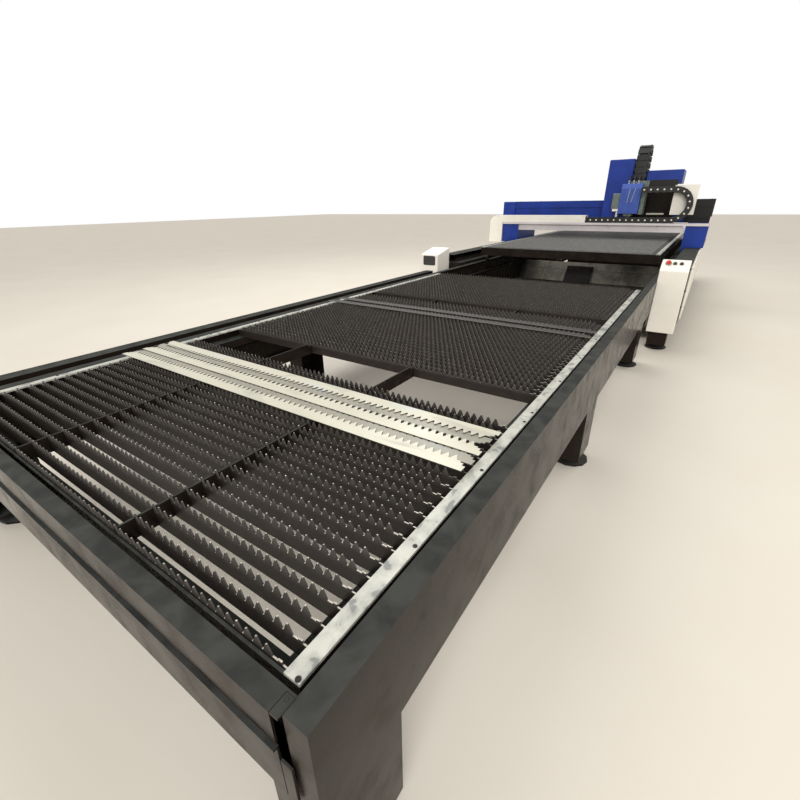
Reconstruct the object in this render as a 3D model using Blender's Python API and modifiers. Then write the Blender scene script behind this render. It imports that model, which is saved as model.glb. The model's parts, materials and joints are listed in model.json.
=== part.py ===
"""Open-type fiber laser cutting machine with a shuttle table.

Metres, +Z up. X runs across the machine, +Y from the shuttle table towards the bed.
Inside this file X is measured from the pallets' centre line and Y from the end plates of the
shuttle table. One empty then moves the whole machine so that its box stands centred on the origin.
"""
import math

import bmesh
import bpy
from mathutils import Matrix, Vector

# Clearance between pieces that seat on each other, the overrun of every cut and weld, and the
# distance below which two points of a mesh are one
GAP = 0.0003
OVERRUN = 0.002
MERGE = 0.00001
FLAT_DEG = 0.05

# Channel rails: the upper pallet rolls on the top flange, the lower one on the inner ledge
RAIL_TOP = 0.589
RAIL_HEIGHT = 0.260
RAIL_INNER = 0.879
RAIL_FLANGE = 0.048
RAIL_WALL = 0.006
LEDGE_DROP = 0.119
LEDGE_SETBACK = 0.002
RAIL_OUTER = RAIL_INNER + RAIL_FLANGE
RAIL_WEB = RAIL_OUTER - RAIL_WALL
RAIL_BOTTOM = RAIL_TOP - RAIL_HEIGHT
LEDGE_TOP = RAIL_TOP - LEDGE_DROP
LEDGE_INNER = RAIL_INNER + LEDGE_SETBACK

# Lengths along the machine: a pallet, the table's ends beyond it, the drive out to the bed, the bed's end
PALLET_NEAR = 0.040
PALLET_LENGTH = 3.450
TABLE_BEYOND = 0.130
TRAVEL_BEYOND = 0.970
BED_BEYOND = 0.490
TABLE_END = PALLET_NEAR + PALLET_LENGTH + TABLE_BEYOND
PALLET_TRAVEL = PALLET_LENGTH + TRAVEL_BEYOND
BED_END = PALLET_NEAR + PALLET_TRAVEL + PALLET_LENGTH + BED_BEYOND

# Shuttle table
TROUGH_WIDTH = 0.073
TROUGH_DEPTH = 0.036
OUTER_TUBE_WIDTH = 0.076
END_PLATE = 0.006
LEG_WIDTH = 0.210
LEG_DEPTH = 0.120
LEG_WALL = 0.008
LEG_INSET = 0.003
MIDDLE_LEG_SHIFT = 0.035
MIDDLE_LEG_AT = (TABLE_END - LEG_WIDTH) / 2 + MIDDLE_LEG_SHIFT
BASE_PLATE = 0.010
FOOT_RADIUS = 0.085
FOOT_RIM = 0.010
FOOT_HEIGHT = 0.024
STUD_RADIUS = 0.014
STUD_LENGTH = 0.020
LEG_BOTTOM = FOOT_HEIGHT + STUD_LENGTH
CROSS_BEAM_DEPTH = 0.080
CROSS_BEAM_HEIGHT = 0.100
FAR_BEAM_SETBACK = 0.280
FAR_BEAM_AT = TABLE_END - FAR_BEAM_SETBACK
TABLE_LEFT_OUTER = RAIL_OUTER + TROUGH_WIDTH + OUTER_TUBE_WIDTH

# Near end member, a lipped box that opens outwards through one long slot
NEAR_FRONT = -0.008
NEAR_DEPTH = 0.037
NEAR_HEIGHT = 0.214
NEAR_WALL = 0.004
NEAR_LIP = 0.075
NEAR_SLOT = 0.010
NEAR_RIDGE = 0.006
NEAR_END_NOTCH = 0.018
NEAR_REACH = NEAR_FRONT - NEAR_RIDGE

# Shuttle drive under the table's far end
SHAFT_SETBACK = 0.120
SHAFT_AT = TABLE_END - SHAFT_SETBACK
SHAFT_HEIGHT = 0.400
SHAFT_RADIUS = 0.018
SPROCKET_RADIUS = 0.045
SPROCKET_WIDTH = 0.012
SPROCKET_TOOTH = 0.006
SPROCKET_TEETH_COUNT = 14
SPROCKET_SETBACK = 0.016
EAR_THICKNESS = 0.014
EAR_INSET = 0.120
GEARBOX_SIDE = 0.130
GEARBOX_AT = -0.420
GEARBOX_FLANGE = 0.012
MOTOR_RADIUS = 0.055
MOTOR_LENGTH = 0.200
MOTOR_FLANGE_RADIUS = 0.068

# Pallets: the same frame twice, the upper one a level higher
LEVEL_STEP = 0.160
PALLET_CLEARANCE = 0.0085
PALLET_OUTER = RAIL_INNER - PALLET_CLEARANCE
SIDE_TUBE_WIDTH = 0.0705
SIDE_TUBE_HEIGHT = 0.0407
PALLET_BOTTOM = 0.505
STRIP_WIDTH = 0.033
STRIP_THICKNESS = 0.006
STRIP_TOP = 0.590
STRIP_LIP = 0.008
CROSS_TUBE_WIDTH = 0.040
CROSS_TUBE_DROP = 0.004
CROSS_TUBE_COUNT = 5
END_PLATE_THICKNESS = 0.006
SIDE_TUBE_TOP = PALLET_BOTTOM + SIDE_TUBE_HEIGHT
STRIP_BOTTOM = STRIP_TOP - STRIP_THICKNESS

# Slats stand on edge across a pallet and rest in notched supports
SLAT_THICKNESS = 0.003
SLAT_HEIGHT = 0.060
SLAT_PITCH = 0.040
SLAT_END_GAP = 0.001
SLAT_HALF = PALLET_OUTER - STRIP_WIDTH - SLAT_END_GAP
TONGUE = 0.0095
TONGUE_HEIGHT = 0.023
TOOTH_PITCH = 0.024
TOOTH_HEIGHT = 0.020
TOOTH_TIP = 0.003
SUPPORT_THICKNESS = 0.006
SUPPORT_HEIGHT = 0.050
SUPPORT_LEFT = 0.280
SUPPORT_RIGHT = 0.310
SUPPORT_END = 0.010
LOWER_SUPPORTS = (-SUPPORT_LEFT, SUPPORT_RIGHT)
UPPER_SUPPORTS = (SUPPORT_RIGHT,)
# Slats from a pallet's near end on: those present and, between the lower pallet's groups, those missing
FIRST_SLAT = 0.010
NEAR_SLATS_COUNT = 23
NEAR_GAP = 0.285
MIDDLE_SLATS_COUNT = 28
FAR_GAP = 0.160
FAR_SLATS_COUNT = 26
UPPER_SLATS_COUNT = 85
MIDDLE_FIRST_SLAT = FIRST_SLAT + (NEAR_SLATS_COUNT - 1) * SLAT_PITCH + NEAR_GAP
FAR_FIRST_SLAT = MIDDLE_FIRST_SLAT + (MIDDLE_SLATS_COUNT - 1) * SLAT_PITCH + FAR_GAP
NEAR_GROUPS = ((FIRST_SLAT, NEAR_SLATS_COUNT),)
FAR_GROUPS = ((MIDDLE_FIRST_SLAT, MIDDLE_SLATS_COUNT), (FAR_FIRST_SLAT, FAR_SLATS_COUNT))
UPPER_GROUPS = ((FIRST_SLAT, UPPER_SLATS_COUNT),)
NEAR_SUPPORTS = (END_PLATE_THICKNESS + GAP, MIDDLE_FIRST_SLAT - SUPPORT_END - GAP)
FAR_SUPPORTS = (MIDDLE_FIRST_SLAT - SUPPORT_END, PALLET_LENGTH - END_PLATE_THICKNESS - GAP)
UPPER_SUPPORTS_REACH = (END_PLATE_THICKNESS + GAP, PALLET_LENGTH - END_PLATE_THICKNESS - GAP)
SLAT_BOTTOM = SIDE_TUBE_TOP + GAP
SLAT_TOP = SLAT_BOTTOM + SLAT_HEIGHT

# New slats that lie loose across the lower pallet, in overlapping pairs: near edge, shift to the
# right, layer, flipped
LOOSE_THICKNESS = 0.0025
LOOSE_START = 0.612
LOOSE_LAP = 0.043
LOOSE_PITCH = 0.088
LOOSE_SHIFT = 0.0015
LOOSE_SLATS = ((LOOSE_START, -8 * LOOSE_SHIFT, 1, False),
               (LOOSE_START + LOOSE_LAP, -3 * LOOSE_SHIFT, 0, False),
               (LOOSE_START + LOOSE_PITCH, -4 * LOOSE_SHIFT, 1, False),
               (LOOSE_START + LOOSE_PITCH + LOOSE_LAP, -7 * LOOSE_SHIFT, 0, True),
               (LOOSE_START + 2 * LOOSE_PITCH, -2 * LOOSE_SHIFT, 1, True))

# Pallet wheels
WHEEL_RADIUS = 0.030
UPPER_WHEEL_RADIUS = 0.035
WHEEL_WIDTH = 0.032
WHEEL_BORE = 0.0086
WHEEL_INSET = 0.240
WHEEL_STANDOFF = 0.0055
PIN_RADIUS = 0.0080
PIN_HEAD = 0.004
BRACKET_WIDTH = 0.070
BRACKET_THICKNESS = 0.008
BRACKET_BELOW_PIN = 0.018
ROUND_SEGMENTS_COUNT = 12

# Bed
GIRDER_WIDTH = 0.207
BED_OUTER = RAIL_OUTER + GIRDER_WIDTH
GIRDER_BOTTOM = 0.235
GIRDER_TOP = 0.620
GUARD_TOP = 0.700
GUARD_WALL = 0.006
GUARD_REACH = 0.144
GUARD_INNER = BED_OUTER - GUARD_REACH
BED_LEG_WIDTH = 0.200
BED_LEG_INSET = 0.044
BED_LEG_DEPTH = 0.145
BED_LEG_OUTER = BED_OUTER - BED_LEG_INSET
BED_LEG_INNER = BED_LEG_OUTER - BED_LEG_DEPTH
FRONT_LEG_SETBACK = 0.410
LEFT_FRONT_LEG_SETBACK = 0.440
MIDDLE_BED_LEG_SETBACK = 0.100
LAST_LEG_SETBACK = 0.280
FRONT_LEG_AT = TABLE_END + FRONT_LEG_SETBACK
LEFT_FRONT_LEG_AT = TABLE_END + LEFT_FRONT_LEG_SETBACK
TIE_INSET = 0.030
TIE_WIDTH = 0.060
TIE_OUTER = BED_LEG_OUTER - TIE_INSET
TIE_INNER = TIE_OUTER - TIE_WIDTH
TIE_BOTTOM = 0.060
TIE_TOP = 0.100
NEAR_BEAM_SETBACK = 0.250
NEAR_BEAM_AT = TABLE_END + NEAR_BEAM_SETBACK
NEAR_BEAM_TOP = 0.420
FAR_PLATE = 0.060

# Linear guide and rack on each girder
GUIDE_BASE_INSET = 0.014
GUIDE_BASE_WIDTH = 0.090
GUIDE_BASE_OUTER = BED_OUTER - GUIDE_BASE_INSET
GUIDE_BASE_INNER = GUIDE_BASE_OUTER - GUIDE_BASE_WIDTH
GUIDE_BASE = 0.006
GUIDE_SETBACK = 0.022
GUIDE_WIDTH = 0.030
GUIDE_INNER = GUIDE_BASE_INNER + GUIDE_SETBACK
GUIDE_OUTER = GUIDE_INNER + GUIDE_WIDTH
GUIDE_TOP = 0.655
GUIDE_WAIST = 0.005
RACK_SETBACK = 0.006
RACK_WIDTH = 0.018
RACK_OUTER = GUIDE_BASE_OUTER - RACK_SETBACK
RACK_INNER = RACK_OUTER - RACK_WIDTH
RACK_TOP = 0.648

# White side covers, control column and screen column
COVER_THICKNESS = 0.016
COVER_SETBACK = 0.590
COVER_START = TABLE_END + COVER_SETBACK
COVER_BOTTOM = 0.250
COVER_TOP = 0.690
COVER_BEVEL = 0.005
COLUMN_SETBACK = 0.350
COLUMN_FRONT = TABLE_END + COLUMN_SETBACK
COLUMN_DEPTH = 0.140
COLUMN_BOTTOM = 0.170
COLUMN_SHOULDER = 0.676
COLUMN_RISE = 0.074
COLUMN_PANEL_DEPTH = 0.100
COLUMN_INSET = 0.004
COLUMN_OUTER = BED_OUTER - COLUMN_INSET
COLUMN_BEVEL = 0.004
SCREEN_COLUMN_INSET = 0.084
SCREEN_COLUMN_WIDTH = 0.200
SCREEN_COLUMN_INNER = BED_OUTER - SCREEN_COLUMN_INSET
SCREEN_COLUMN_OUTER = SCREEN_COLUMN_INNER + SCREEN_COLUMN_WIDTH
SCREEN_COLUMN_SETBACK = 0.180
SCREEN_COLUMN_FRONT = TABLE_END + SCREEN_COLUMN_SETBACK
SCREEN_COLUMN_DEPTH = 0.250
SCREEN_COLUMN_SHOULDER = 0.717
SCREEN_COLUMN_RISE = 0.051
SCREEN_PANEL_DEPTH = 0.240
WINDOW_WIDTH = 0.144
WINDOW_HEIGHT = 0.096
WINDOW_DEPTH = 0.004
WINDOW_DROP = 0.011
WINDOW_RADIUS = 0.016
WINDOW_STEPS_COUNT = 3

# Push buttons on the control column's sloping panel
BUTTON_FIRST = 0.048
BUTTON_PITCH = 0.046
BUTTON_COUNT = 3
BUTTON_AT = [RAIL_OUTER + BUTTON_FIRST + index * BUTTON_PITCH for index in range(BUTTON_COUNT)]
BUTTON_UP_THE_PANEL = 0.085
BUTTON_BORE = 0.0075
BUTTON_BORE_DEPTH = 0.030
BUTTON_STEM = 0.0072
BUTTON_STEM_LENGTH = 0.020
BUTTON_STANDOFF = 0.005
BUTTON_HEAD = 0.012
BUTTON_HEAD_HEIGHT = 0.007
BUTTON_RIM_SHARE = 0.7
BUTTON_CROWN_SHARE = 0.8
STOP_HEAD = 0.019
STOP_HEAD_HEIGHT = 0.014

# Chip divider, its gusset and the two drawers
DIVIDER_SETBACK = 2.270
DIVIDER_AT = BED_END - DIVIDER_SETBACK
BED_LEGS_AT = (DIVIDER_AT - MIDDLE_BED_LEG_SETBACK, BED_END - LAST_LEG_SETBACK)
DIVIDER_FOOT = 0.200
DIVIDER_RIDGE = 0.015
DIVIDER_TOP = 0.440
DIVIDER_BOTTOM = 0.215
DIVIDER_WALL = 0.004
DIVIDER_FOLD_SHARE = 1.3
GUSSET_LEFT = -0.300
GUSSET_RIGHT = 0.020
GUSSET_RISE = 0.185
GUSSET_FRONT = 0.050
DRAWER_LEFT_INSET = 0.084
DRAWER_RIGHT_INSET = 0.039
DRAWER_LEFT = DRAWER_LEFT_INSET - BED_OUTER
DRAWER_RIGHT = BED_OUTER - DRAWER_RIGHT_INSET
DRAWER_TOP = 0.205
DRAWER_WALL = 0.004
DRAWER_NEAR_GAP = 0.170
DRAWER_SPLIT = 0.160
DRAWER_FAR_GAP = 0.350
DRAWER_NEAR = (COVER_START + DRAWER_NEAR_GAP, DIVIDER_AT - DRAWER_NEAR_GAP)
DRAWER_FAR = (DIVIDER_AT + DRAWER_SPLIT, BED_END - DRAWER_FAR_GAP)
HANDLE_LENGTH = 0.260
HANDLE_REACH = 0.028
HANDLE_BAR = 0.010

# Gantry
TRAY_SETBACK = 2.630
TRAY_FRONT = BED_END - TRAY_SETBACK
TRAY_DEPTH = 0.130
TRAY_TOP = 0.952
TRAY_THICKNESS = 0.006
TRAY_LIP = 0.024
TRAY_LIP_WALL = 0.003
TAB_WIDTH = 0.010
TAB_DEPTH = 0.026
TAB_HEIGHT = 0.068
APRON_SETBACK = 0.030
APRON_AT = TRAY_FRONT + APRON_SETBACK
APRON_WALL = 0.003
APRON_DEPTH = 0.040
APRON_BOTTOM = 0.856
APRON_TAPER = 0.045
STIFFENER_AT = (-0.650, -0.130, 0.170, 0.683)
STIFFENER_THICKNESS = 0.004
STIFFENER_DEPTH = 0.022
BLOCK_SETBACK = 0.035
BLOCK_REACH = 0.032
BLOCK_INNER = GUARD_INNER - BLOCK_SETBACK
BLOCK_OUTER = BED_OUTER + BLOCK_REACH
APRON_END_GAP = 0.005
APRON_HALF = BLOCK_INNER - APRON_END_GAP
TRAY_REACH = 0.004
TRAY_RIGHT = BLOCK_OUTER + TRAY_REACH
BLOCK_BOTTOM = 0.704
BLOCK_INSET = 0.020
BLOCK_LENGTH = 0.720
BLOCK_FRONT = TRAY_FRONT + BLOCK_INSET
BLOCK_BACK = BLOCK_FRONT + BLOCK_LENGTH
NECK_WALL = 0.024
SHOE_TOP = 0.690
SHOE_BOTTOM = 0.634
SHOE_INNER_WALL = 0.012
SHOE_OUTER_WALL = 0.010
SHOE_INNER = GUIDE_INNER - SHOE_INNER_WALL
SHOE_OUTER = GUIDE_OUTER + SHOE_OUTER_WALL
BEAM_SETBACK = 0.430
BEAM_DEPTH = 0.300
BEAM_FRONT = TRAY_FRONT + BEAM_SETBACK
BEAM_BACK = BEAM_FRONT + BEAM_DEPTH
BEAM_TOP = 1.185
BEAM_RAIL_REACH = 0.012
BEAM_RAIL_HEIGHT = 0.024
BEAM_RAIL_RISE = 0.064
BEAM_RAIL_PITCH = 0.120
BEAM_CAP_INSET = 0.040
BEAM_CAP_HEIGHT = 0.012
HOOD_REACH = 0.177
HOOD_OUTER = TRAY_RIGHT + HOOD_REACH
HOOD_RIGHT = -0.110
HOOD_TOP = 1.034
HOOD_RADIUS = 0.095
HOOD_WALL = 0.006
HOOD_STEPS_COUNT = 6
TRAY_BOTTOM = TRAY_TOP - TRAY_THICKNESS
BEAM_RAIL_AT = (TRAY_BOTTOM + BEAM_RAIL_RISE, TRAY_BOTTOM + BEAM_RAIL_RISE + BEAM_RAIL_PITCH)

# Horizontal cable chain on the tray
LINK_HEIGHT = 0.062
LINK_WIDTH = 0.080
LINK_PITCH = 0.066
LINK_NOTCH = 0.006
CHAIN_INSET = 0.015
CHAIN_FRONT = TRAY_FRONT + CHAIN_INSET
CHAIN_BEND = 0.158
CHAIN_BEND_AT = 0.785
CHAIN_LEFT_END = -0.150
CHAIN_MOVING_END = 0.440

# Carriage on the beam
SADDLE_LEFT = 0.010
SADDLE_RIGHT = 0.770
SADDLE_SETBACK = 0.375
SADDLE_FRONT = TRAY_FRONT + SADDLE_SETBACK
SADDLE_BOTTOM = 0.985
SADDLE_TOP = 1.330
SADDLE_DEPTH = 0.315
SADDLE_BACK = SADDLE_FRONT + SADDLE_DEPTH
SADDLE_PLATE = 0.006
HEAD_RAIL_LEFT = 0.440
HEAD_RAIL_RIGHT = 0.465
GUIDE_PLATE_RIGHT = 0.994
GUIDE_PLATE_BOTTOM = 1.040
GUIDE_PLATE_TOP = 1.340
GUIDE_PLATE_LEFT = 0.764
GUIDE_PLATE_WALL = 0.006
TALL_COVER_RIGHT = 0.280
TALL_COVER_REACH = 0.085
TALL_COVER_DEPTH = 0.240
TALL_COVER_FRONT = SADDLE_FRONT - TALL_COVER_REACH
TALL_COVER_BACK = TALL_COVER_FRONT + TALL_COVER_DEPTH
TALL_COVER_BOTTOM = 1.000
TALL_COVER_RISE = 0.305
TALL_COVER_TOP = SADDLE_TOP + TALL_COVER_RISE
BOX_LEFT = 0.432
BOX_RIGHT = 0.800
BOX_REACH = 0.045
BOX_DEPTH = 0.350
BOX_FRONT = SADDLE_FRONT - BOX_REACH
BOX_BACK = BOX_FRONT + BOX_DEPTH
BOX_RISE = 0.032
BOX_HEIGHT = 0.143
BOX_BOTTOM = SADDLE_TOP + BOX_RISE
BOX_TOP = BOX_BOTTOM + BOX_HEIGHT
BOX_BASE_INSET = 0.040
SHELL_BEVEL = 0.006

# Vertical cable chain behind the head
RISER_LEFT = 0.290
RISER_WIDTH = 0.135
RISER_HEIGHT = 0.044
RISER_REACH = 0.0493
RISER_FRONT = SADDLE_FRONT - RISER_REACH
RISER_BOTTOM = 1.150
RISER_BEND = 0.078
RISER_RISE = 0.450
RISER_TOP = SADDLE_TOP + RISER_RISE

# Cutting head
HEAD_COVER_LEFT = 0.216
HEAD_COVER_RIGHT = 0.430
HEAD_COVER_SETBACK = 0.140
HEAD_COVER_DEPTH = 0.140
HEAD_COVER_FRONT = TRAY_FRONT + HEAD_COVER_SETBACK
HEAD_COVER_BACK = HEAD_COVER_FRONT + HEAD_COVER_DEPTH
HEAD_COVER_BOTTOM = 1.050
HEAD_COVER_TOP = 1.370
HEAD_COVER_CHAMFER = 0.026
HEAD_COVER_WALL = 0.004
SLIDE_PLATE_LEFT = 0.285
SLIDE_PLATE_RIGHT = 0.478
SLIDE_PLATE_DEPTH = 0.045
SLIDE_PLATE_BACK = HEAD_COVER_BACK + SLIDE_PLATE_DEPTH
SLIDE_PLATE_BOTTOM = 1.040
SLIDE_PLATE_TOP = 1.400
SIDE_PLATE_INSET = 0.020
SIDE_PLATE_FRONT = HEAD_COVER_FRONT + SIDE_PLATE_INSET
SIDE_PLATE_TOP = 1.300
SIDE_PLATE_LEFT = 0.436
HEAD_BODY_HALF = 0.048
HEAD_BODY_TOP = 1.330
HEAD_BODY_BOTTOM = 1.020
HEAD_AXIS_INSET = 0.072
HEAD_AXIS_Y = HEAD_COVER_FRONT + HEAD_AXIS_INSET
HEAD_AXIS_X = 0.323
NOZZLE_COLLAR_RADIUS = 0.030
NOZZLE_COLLAR_HEIGHT = 0.016
NOZZLE_CONE_HEIGHT = 0.022
NOZZLE_TIP_RADIUS = 0.005
NOZZLE_TIP_HEIGHT = 0.008
SENSOR_LEFT = 0.130
SENSOR_INSET = 0.030
SENSOR_DEPTH = 0.100
SENSOR_FRONT = HEAD_COVER_FRONT + SENSOR_INSET
SENSOR_BACK = SENSOR_FRONT + SENSOR_DEPTH
SENSOR_BOTTOM = 1.100
SENSOR_TOP = 1.270
GLAND_RADIUS = 0.011
GLAND_HEIGHT = 0.034
GLAND_SPACING = 0.050
GLAND_COUNT = 3

SHIFT_X = (HOOD_OUTER - TRAY_RIGHT) / 2
SHIFT_Y = -(BED_END + NEAR_REACH) / 2

# Finishes: colour, roughness and metallic value
FINISHES = {
    "satin black enamel": ((0.020, 0.020, 0.022), 0.42, 0.0),
    "galvanised steel": ((0.42, 0.43, 0.42), 0.45, 0.9),
    "new galvanised steel": ((0.72, 0.72, 0.66), 0.35, 0.9),
    "mill steel": ((0.055, 0.050, 0.047), 0.50, 0.6),
    "white powder coat": ((0.80, 0.76, 0.69), 0.45, 0.0),
    "blue powder coat": ((0.020, 0.055, 0.28), 0.40, 0.0),
    "black nylon": ((0.018, 0.018, 0.018), 0.55, 0.0),
    "ground steel": ((0.50, 0.50, 0.50), 0.25, 1.0),
    "stainless sheet": ((0.40, 0.40, 0.38), 0.35, 0.9),
    "red plastic": ((0.50, 0.02, 0.02), 0.35, 0.0),
    "green plastic": ((0.02, 0.25, 0.06), 0.35, 0.0),
    "grey enamel": ((0.16, 0.17, 0.17), 0.45, 0.2),
    "polyurethane": ((0.10, 0.09, 0.07), 0.60, 0.0),
}


def clear_scene():
    for old in list(bpy.data.objects):
        bpy.data.objects.remove(old, do_unlink=True)


def finish(name):
    material = bpy.data.materials.get(name)
    if material is None:
        colour, roughness, metallic = FINISHES[name]
        material = bpy.data.materials.new(name)
        material.use_nodes = True
        shader = material.node_tree.nodes["Principled BSDF"]
        shader.inputs["Base Color"].default_value = (*colour, 1.0)
        shader.inputs["Roughness"].default_value = roughness
        shader.inputs["Metallic"].default_value = metallic
    return material


def object_from(mesh, name):
    made = bpy.data.objects.new(name, mesh)
    COLLECTION.objects.link(made)
    return made


def from_bmesh(shape, name="piece"):
    mesh = bpy.data.meshes.new(name)
    shape.to_mesh(mesh)
    shape.free()
    return object_from(mesh, name)


def box(low, high):
    """A block between two corners."""
    low = Vector(low)
    high = Vector(high)
    shape = bmesh.new()
    bmesh.ops.create_cube(shape, size=1.0)
    bmesh.ops.scale(shape, vec=high - low, verts=shape.verts)
    bmesh.ops.translate(shape, vec=(high + low) / 2, verts=shape.verts)
    return from_bmesh(shape)


def bore_radius(radius):
    """Radius of a bore whose flats clear the corners of the round piece that turns in it."""
    return (radius + GAP) / math.cos(math.pi / ROUND_SEGMENTS_COUNT)


def cylinder(centre, radius, depth, axis="Z", top_radius=None, segments=ROUND_SEGMENTS_COUNT):
    """A cylinder or cone about its centre, along one axis."""
    shape = bmesh.new()
    bmesh.ops.create_cone(shape, cap_ends=True, segments=segments, radius1=radius,
                          radius2=radius if top_radius is None else top_radius, depth=depth)
    turn = {"Z": Matrix.Identity(3), "X": Matrix.Rotation(math.pi / 2, 3, "Y"),
            "Y": Matrix.Rotation(-math.pi / 2, 3, "X")}[axis]
    bmesh.ops.rotate(shape, cent=(0, 0, 0), matrix=turn, verts=shape.verts)
    bmesh.ops.translate(shape, vec=centre, verts=shape.verts)
    return from_bmesh(shape)


def bake(made):
    """Replace an object's mesh by its evaluated one, welded and with faces pointing out."""
    graph = bpy.context.evaluated_depsgraph_get()
    mesh = bpy.data.meshes.new_from_object(made.evaluated_get(graph))
    shape = bmesh.new()
    shape.from_mesh(mesh)
    bmesh.ops.remove_doubles(shape, verts=shape.verts, dist=MERGE)
    bmesh.ops.dissolve_limit(shape, angle_limit=math.radians(FLAT_DEG), verts=shape.verts, edges=shape.edges)
    bmesh.ops.recalc_face_normals(shape, faces=shape.faces)
    shape.to_mesh(mesh)
    shape.free()
    if made.type == "MESH":
        made.modifiers.clear()
        made.data = mesh
        return made
    solid = object_from(mesh, made.name)
    solid.matrix_world = made.matrix_world
    bpy.data.objects.remove(made)
    return solid


def plate(outline, start, end, axis):
    """A flat outline pushed from start to end. It is drawn in XZ for axis Y, YZ for X, XY for Z."""
    curve = bpy.data.curves.new("outline", "CURVE")
    curve.dimensions = "2D"
    curve.fill_mode = "BOTH"
    curve.extrude = abs(end - start) / 2
    line = curve.splines.new("POLY")
    line.points.add(len(outline) - 1)
    for point, (u, v) in zip(line.points, outline):
        point.co = Vector((u, v, 0)).to_4d()
    line.use_cyclic_u = True
    made = bpy.data.objects.new("outline", curve)
    COLLECTION.objects.link(made)
    solid = bake(made)
    middle = (start + end) / 2
    frame = {"X": Matrix(((0, 0, 1, middle), (1, 0, 0, 0), (0, 1, 0, 0), (0, 0, 0, 1))),
             "Y": Matrix(((1, 0, 0, 0), (0, 0, -1, middle), (0, 1, 0, 0), (0, 0, 0, 1))),
             "Z": Matrix(((1, 0, 0, 0), (0, 1, 0, 0), (0, 0, 1, middle), (0, 0, 0, 1)))}[axis]
    solid.data.transform(frame)
    return solid


def turned(profile, segments=ROUND_SEGMENTS_COUNT):
    """A closed profile of (radius, height) points turned about Z."""
    shape = bmesh.new()
    points = [shape.verts.new((radius, 0.0, height)) for radius, height in profile]
    for here, there in zip(points, points[1:] + points[:1]):
        if here.co.x > 0 or there.co.x > 0:
            shape.edges.new((here, there))
    made = from_bmesh(shape)
    screw = made.modifiers.new("turn", "SCREW")
    screw.angle = 2 * math.pi
    screw.steps = segments
    screw.render_steps = segments
    screw.use_merge_vertices = True
    screw.merge_threshold = MERGE
    return bake(made)


def boolean(target, tool, operation):
    step = target.modifiers.new(operation, "BOOLEAN")
    step.operation = operation
    step.solver = "EXACT"
    step.object = tool
    bake(target)
    bpy.data.objects.remove(tool)
    return target


def weld(target, *others):
    for other in others:
        boolean(target, other, "UNION")
    return target


def cut(target, *tools):
    for tool in tools:
        boolean(target, tool, "DIFFERENCE")
    return target


def heap(*pieces):
    """Separate solids gathered in one object, to be welded or cut as one tool."""
    shape = bmesh.new()
    for piece in pieces:
        shape.from_mesh(piece.data)
        bpy.data.objects.remove(piece)
    return from_bmesh(shape)


def bevelled(made, width, segments=1, angle_deg=40):
    """Round or chamfer the outer edges that turn by more than an angle. Inner corners stay sharp."""
    shape = bmesh.new()
    shape.from_mesh(made.data)
    weights = [1.0 if edge.is_convex and edge.calc_face_angle() > math.radians(angle_deg) else 0.0
               for edge in shape.edges]
    shape.free()
    attribute = made.data.attributes.new("bevel_weight_edge", "FLOAT", "EDGE")
    attribute.data.foreach_set("value", weights)
    edge = made.modifiers.new("edges", "BEVEL")
    edge.width = width
    edge.segments = segments
    edge.limit_method = "WEIGHT"
    return bake(made)


def name_piece(made, name, surface, body=None, at=None):
    """Name a piece, paint it and hang it on its body's empty, with its origin at a joint's place."""
    made.name = name
    made.data.name = name
    made.data.materials.clear()
    made.data.materials.append(finish(surface))
    made.data.shade_smooth()
    made.data.set_sharp_from_angle(angle=math.radians(30))
    carrier = BODIES[body or "machine"]
    made.parent = carrier
    offset = Vector((0, 0, 0)) if body is None else Vector(carrier.location)
    made.location = (Vector(at) if at is not None else Vector((0, 0, 0))) - offset
    return made


def add_body(name, at=(0, 0, 0)):
    empty = bpy.data.objects.new(name, None)
    COLLECTION.objects.link(empty)
    empty.location = at
    if BODIES:
        empty.parent = BODIES["machine"]
    BODIES[name] = empty


def sided(points, side):
    """Mirror an outline drawn for the right side when the left one is wanted."""
    return [(side * u, v) for u, v in points]


def from_side(side, near, far):
    """Lowest and highest X of a piece between two distances from the centre line."""
    return min(side * near, side * far), max(side * near, side * far)


def rail_inside():
    """Inner half of a channel rail's section, from the bottom up."""
    return [(RAIL_INNER, RAIL_BOTTOM), (RAIL_INNER, RAIL_BOTTOM + RAIL_WALL),
            (RAIL_WEB, RAIL_BOTTOM + RAIL_WALL), (RAIL_WEB, LEDGE_TOP - RAIL_WALL),
            (LEDGE_INNER, LEDGE_TOP - RAIL_WALL), (LEDGE_INNER, LEDGE_TOP), (RAIL_WEB, LEDGE_TOP),
            (RAIL_WEB, RAIL_TOP - RAIL_WALL), (RAIL_INNER, RAIL_TOP - RAIL_WALL),
            (RAIL_INNER, RAIL_TOP)]


def foot(x, y):
    """Levelling foot: a turned pad with a threaded stud up to the leg's base plate."""
    profile = [(0, 0), (FOOT_RADIUS, 0), (FOOT_RADIUS, FOOT_RIM), (STUD_RADIUS, FOOT_HEIGHT),
               (STUD_RADIUS, LEG_BOTTOM + OVERRUN), (0, LEG_BOTTOM + OVERRUN)]
    pad = turned(profile)
    pad.data.transform(Matrix.Translation((x, y, 0)))
    return pad


def table_leg(side, outer, start, top):
    """Folded leg that opens inwards, on a base plate with a levelling foot."""
    inner = outer - LEG_DEPTH
    end = start + LEG_WIDTH
    section = [(outer, start), (outer, end), (inner, end), (inner, end - LEG_WALL),
               (outer - LEG_WALL, end - LEG_WALL), (outer - LEG_WALL, start + LEG_WALL),
               (inner, start + LEG_WALL), (inner, start)]
    leg = plate(sided(section, side), LEG_BOTTOM + BASE_PLATE - OVERRUN, top, "Z")
    low_x, high_x = from_side(side, inner, outer)
    base = box((low_x, start, LEG_BOTTOM), (high_x, end, LEG_BOTTOM + BASE_PLATE))
    return weld(leg, base, foot(side * (outer + inner) / 2, (start + end) / 2))


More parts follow.
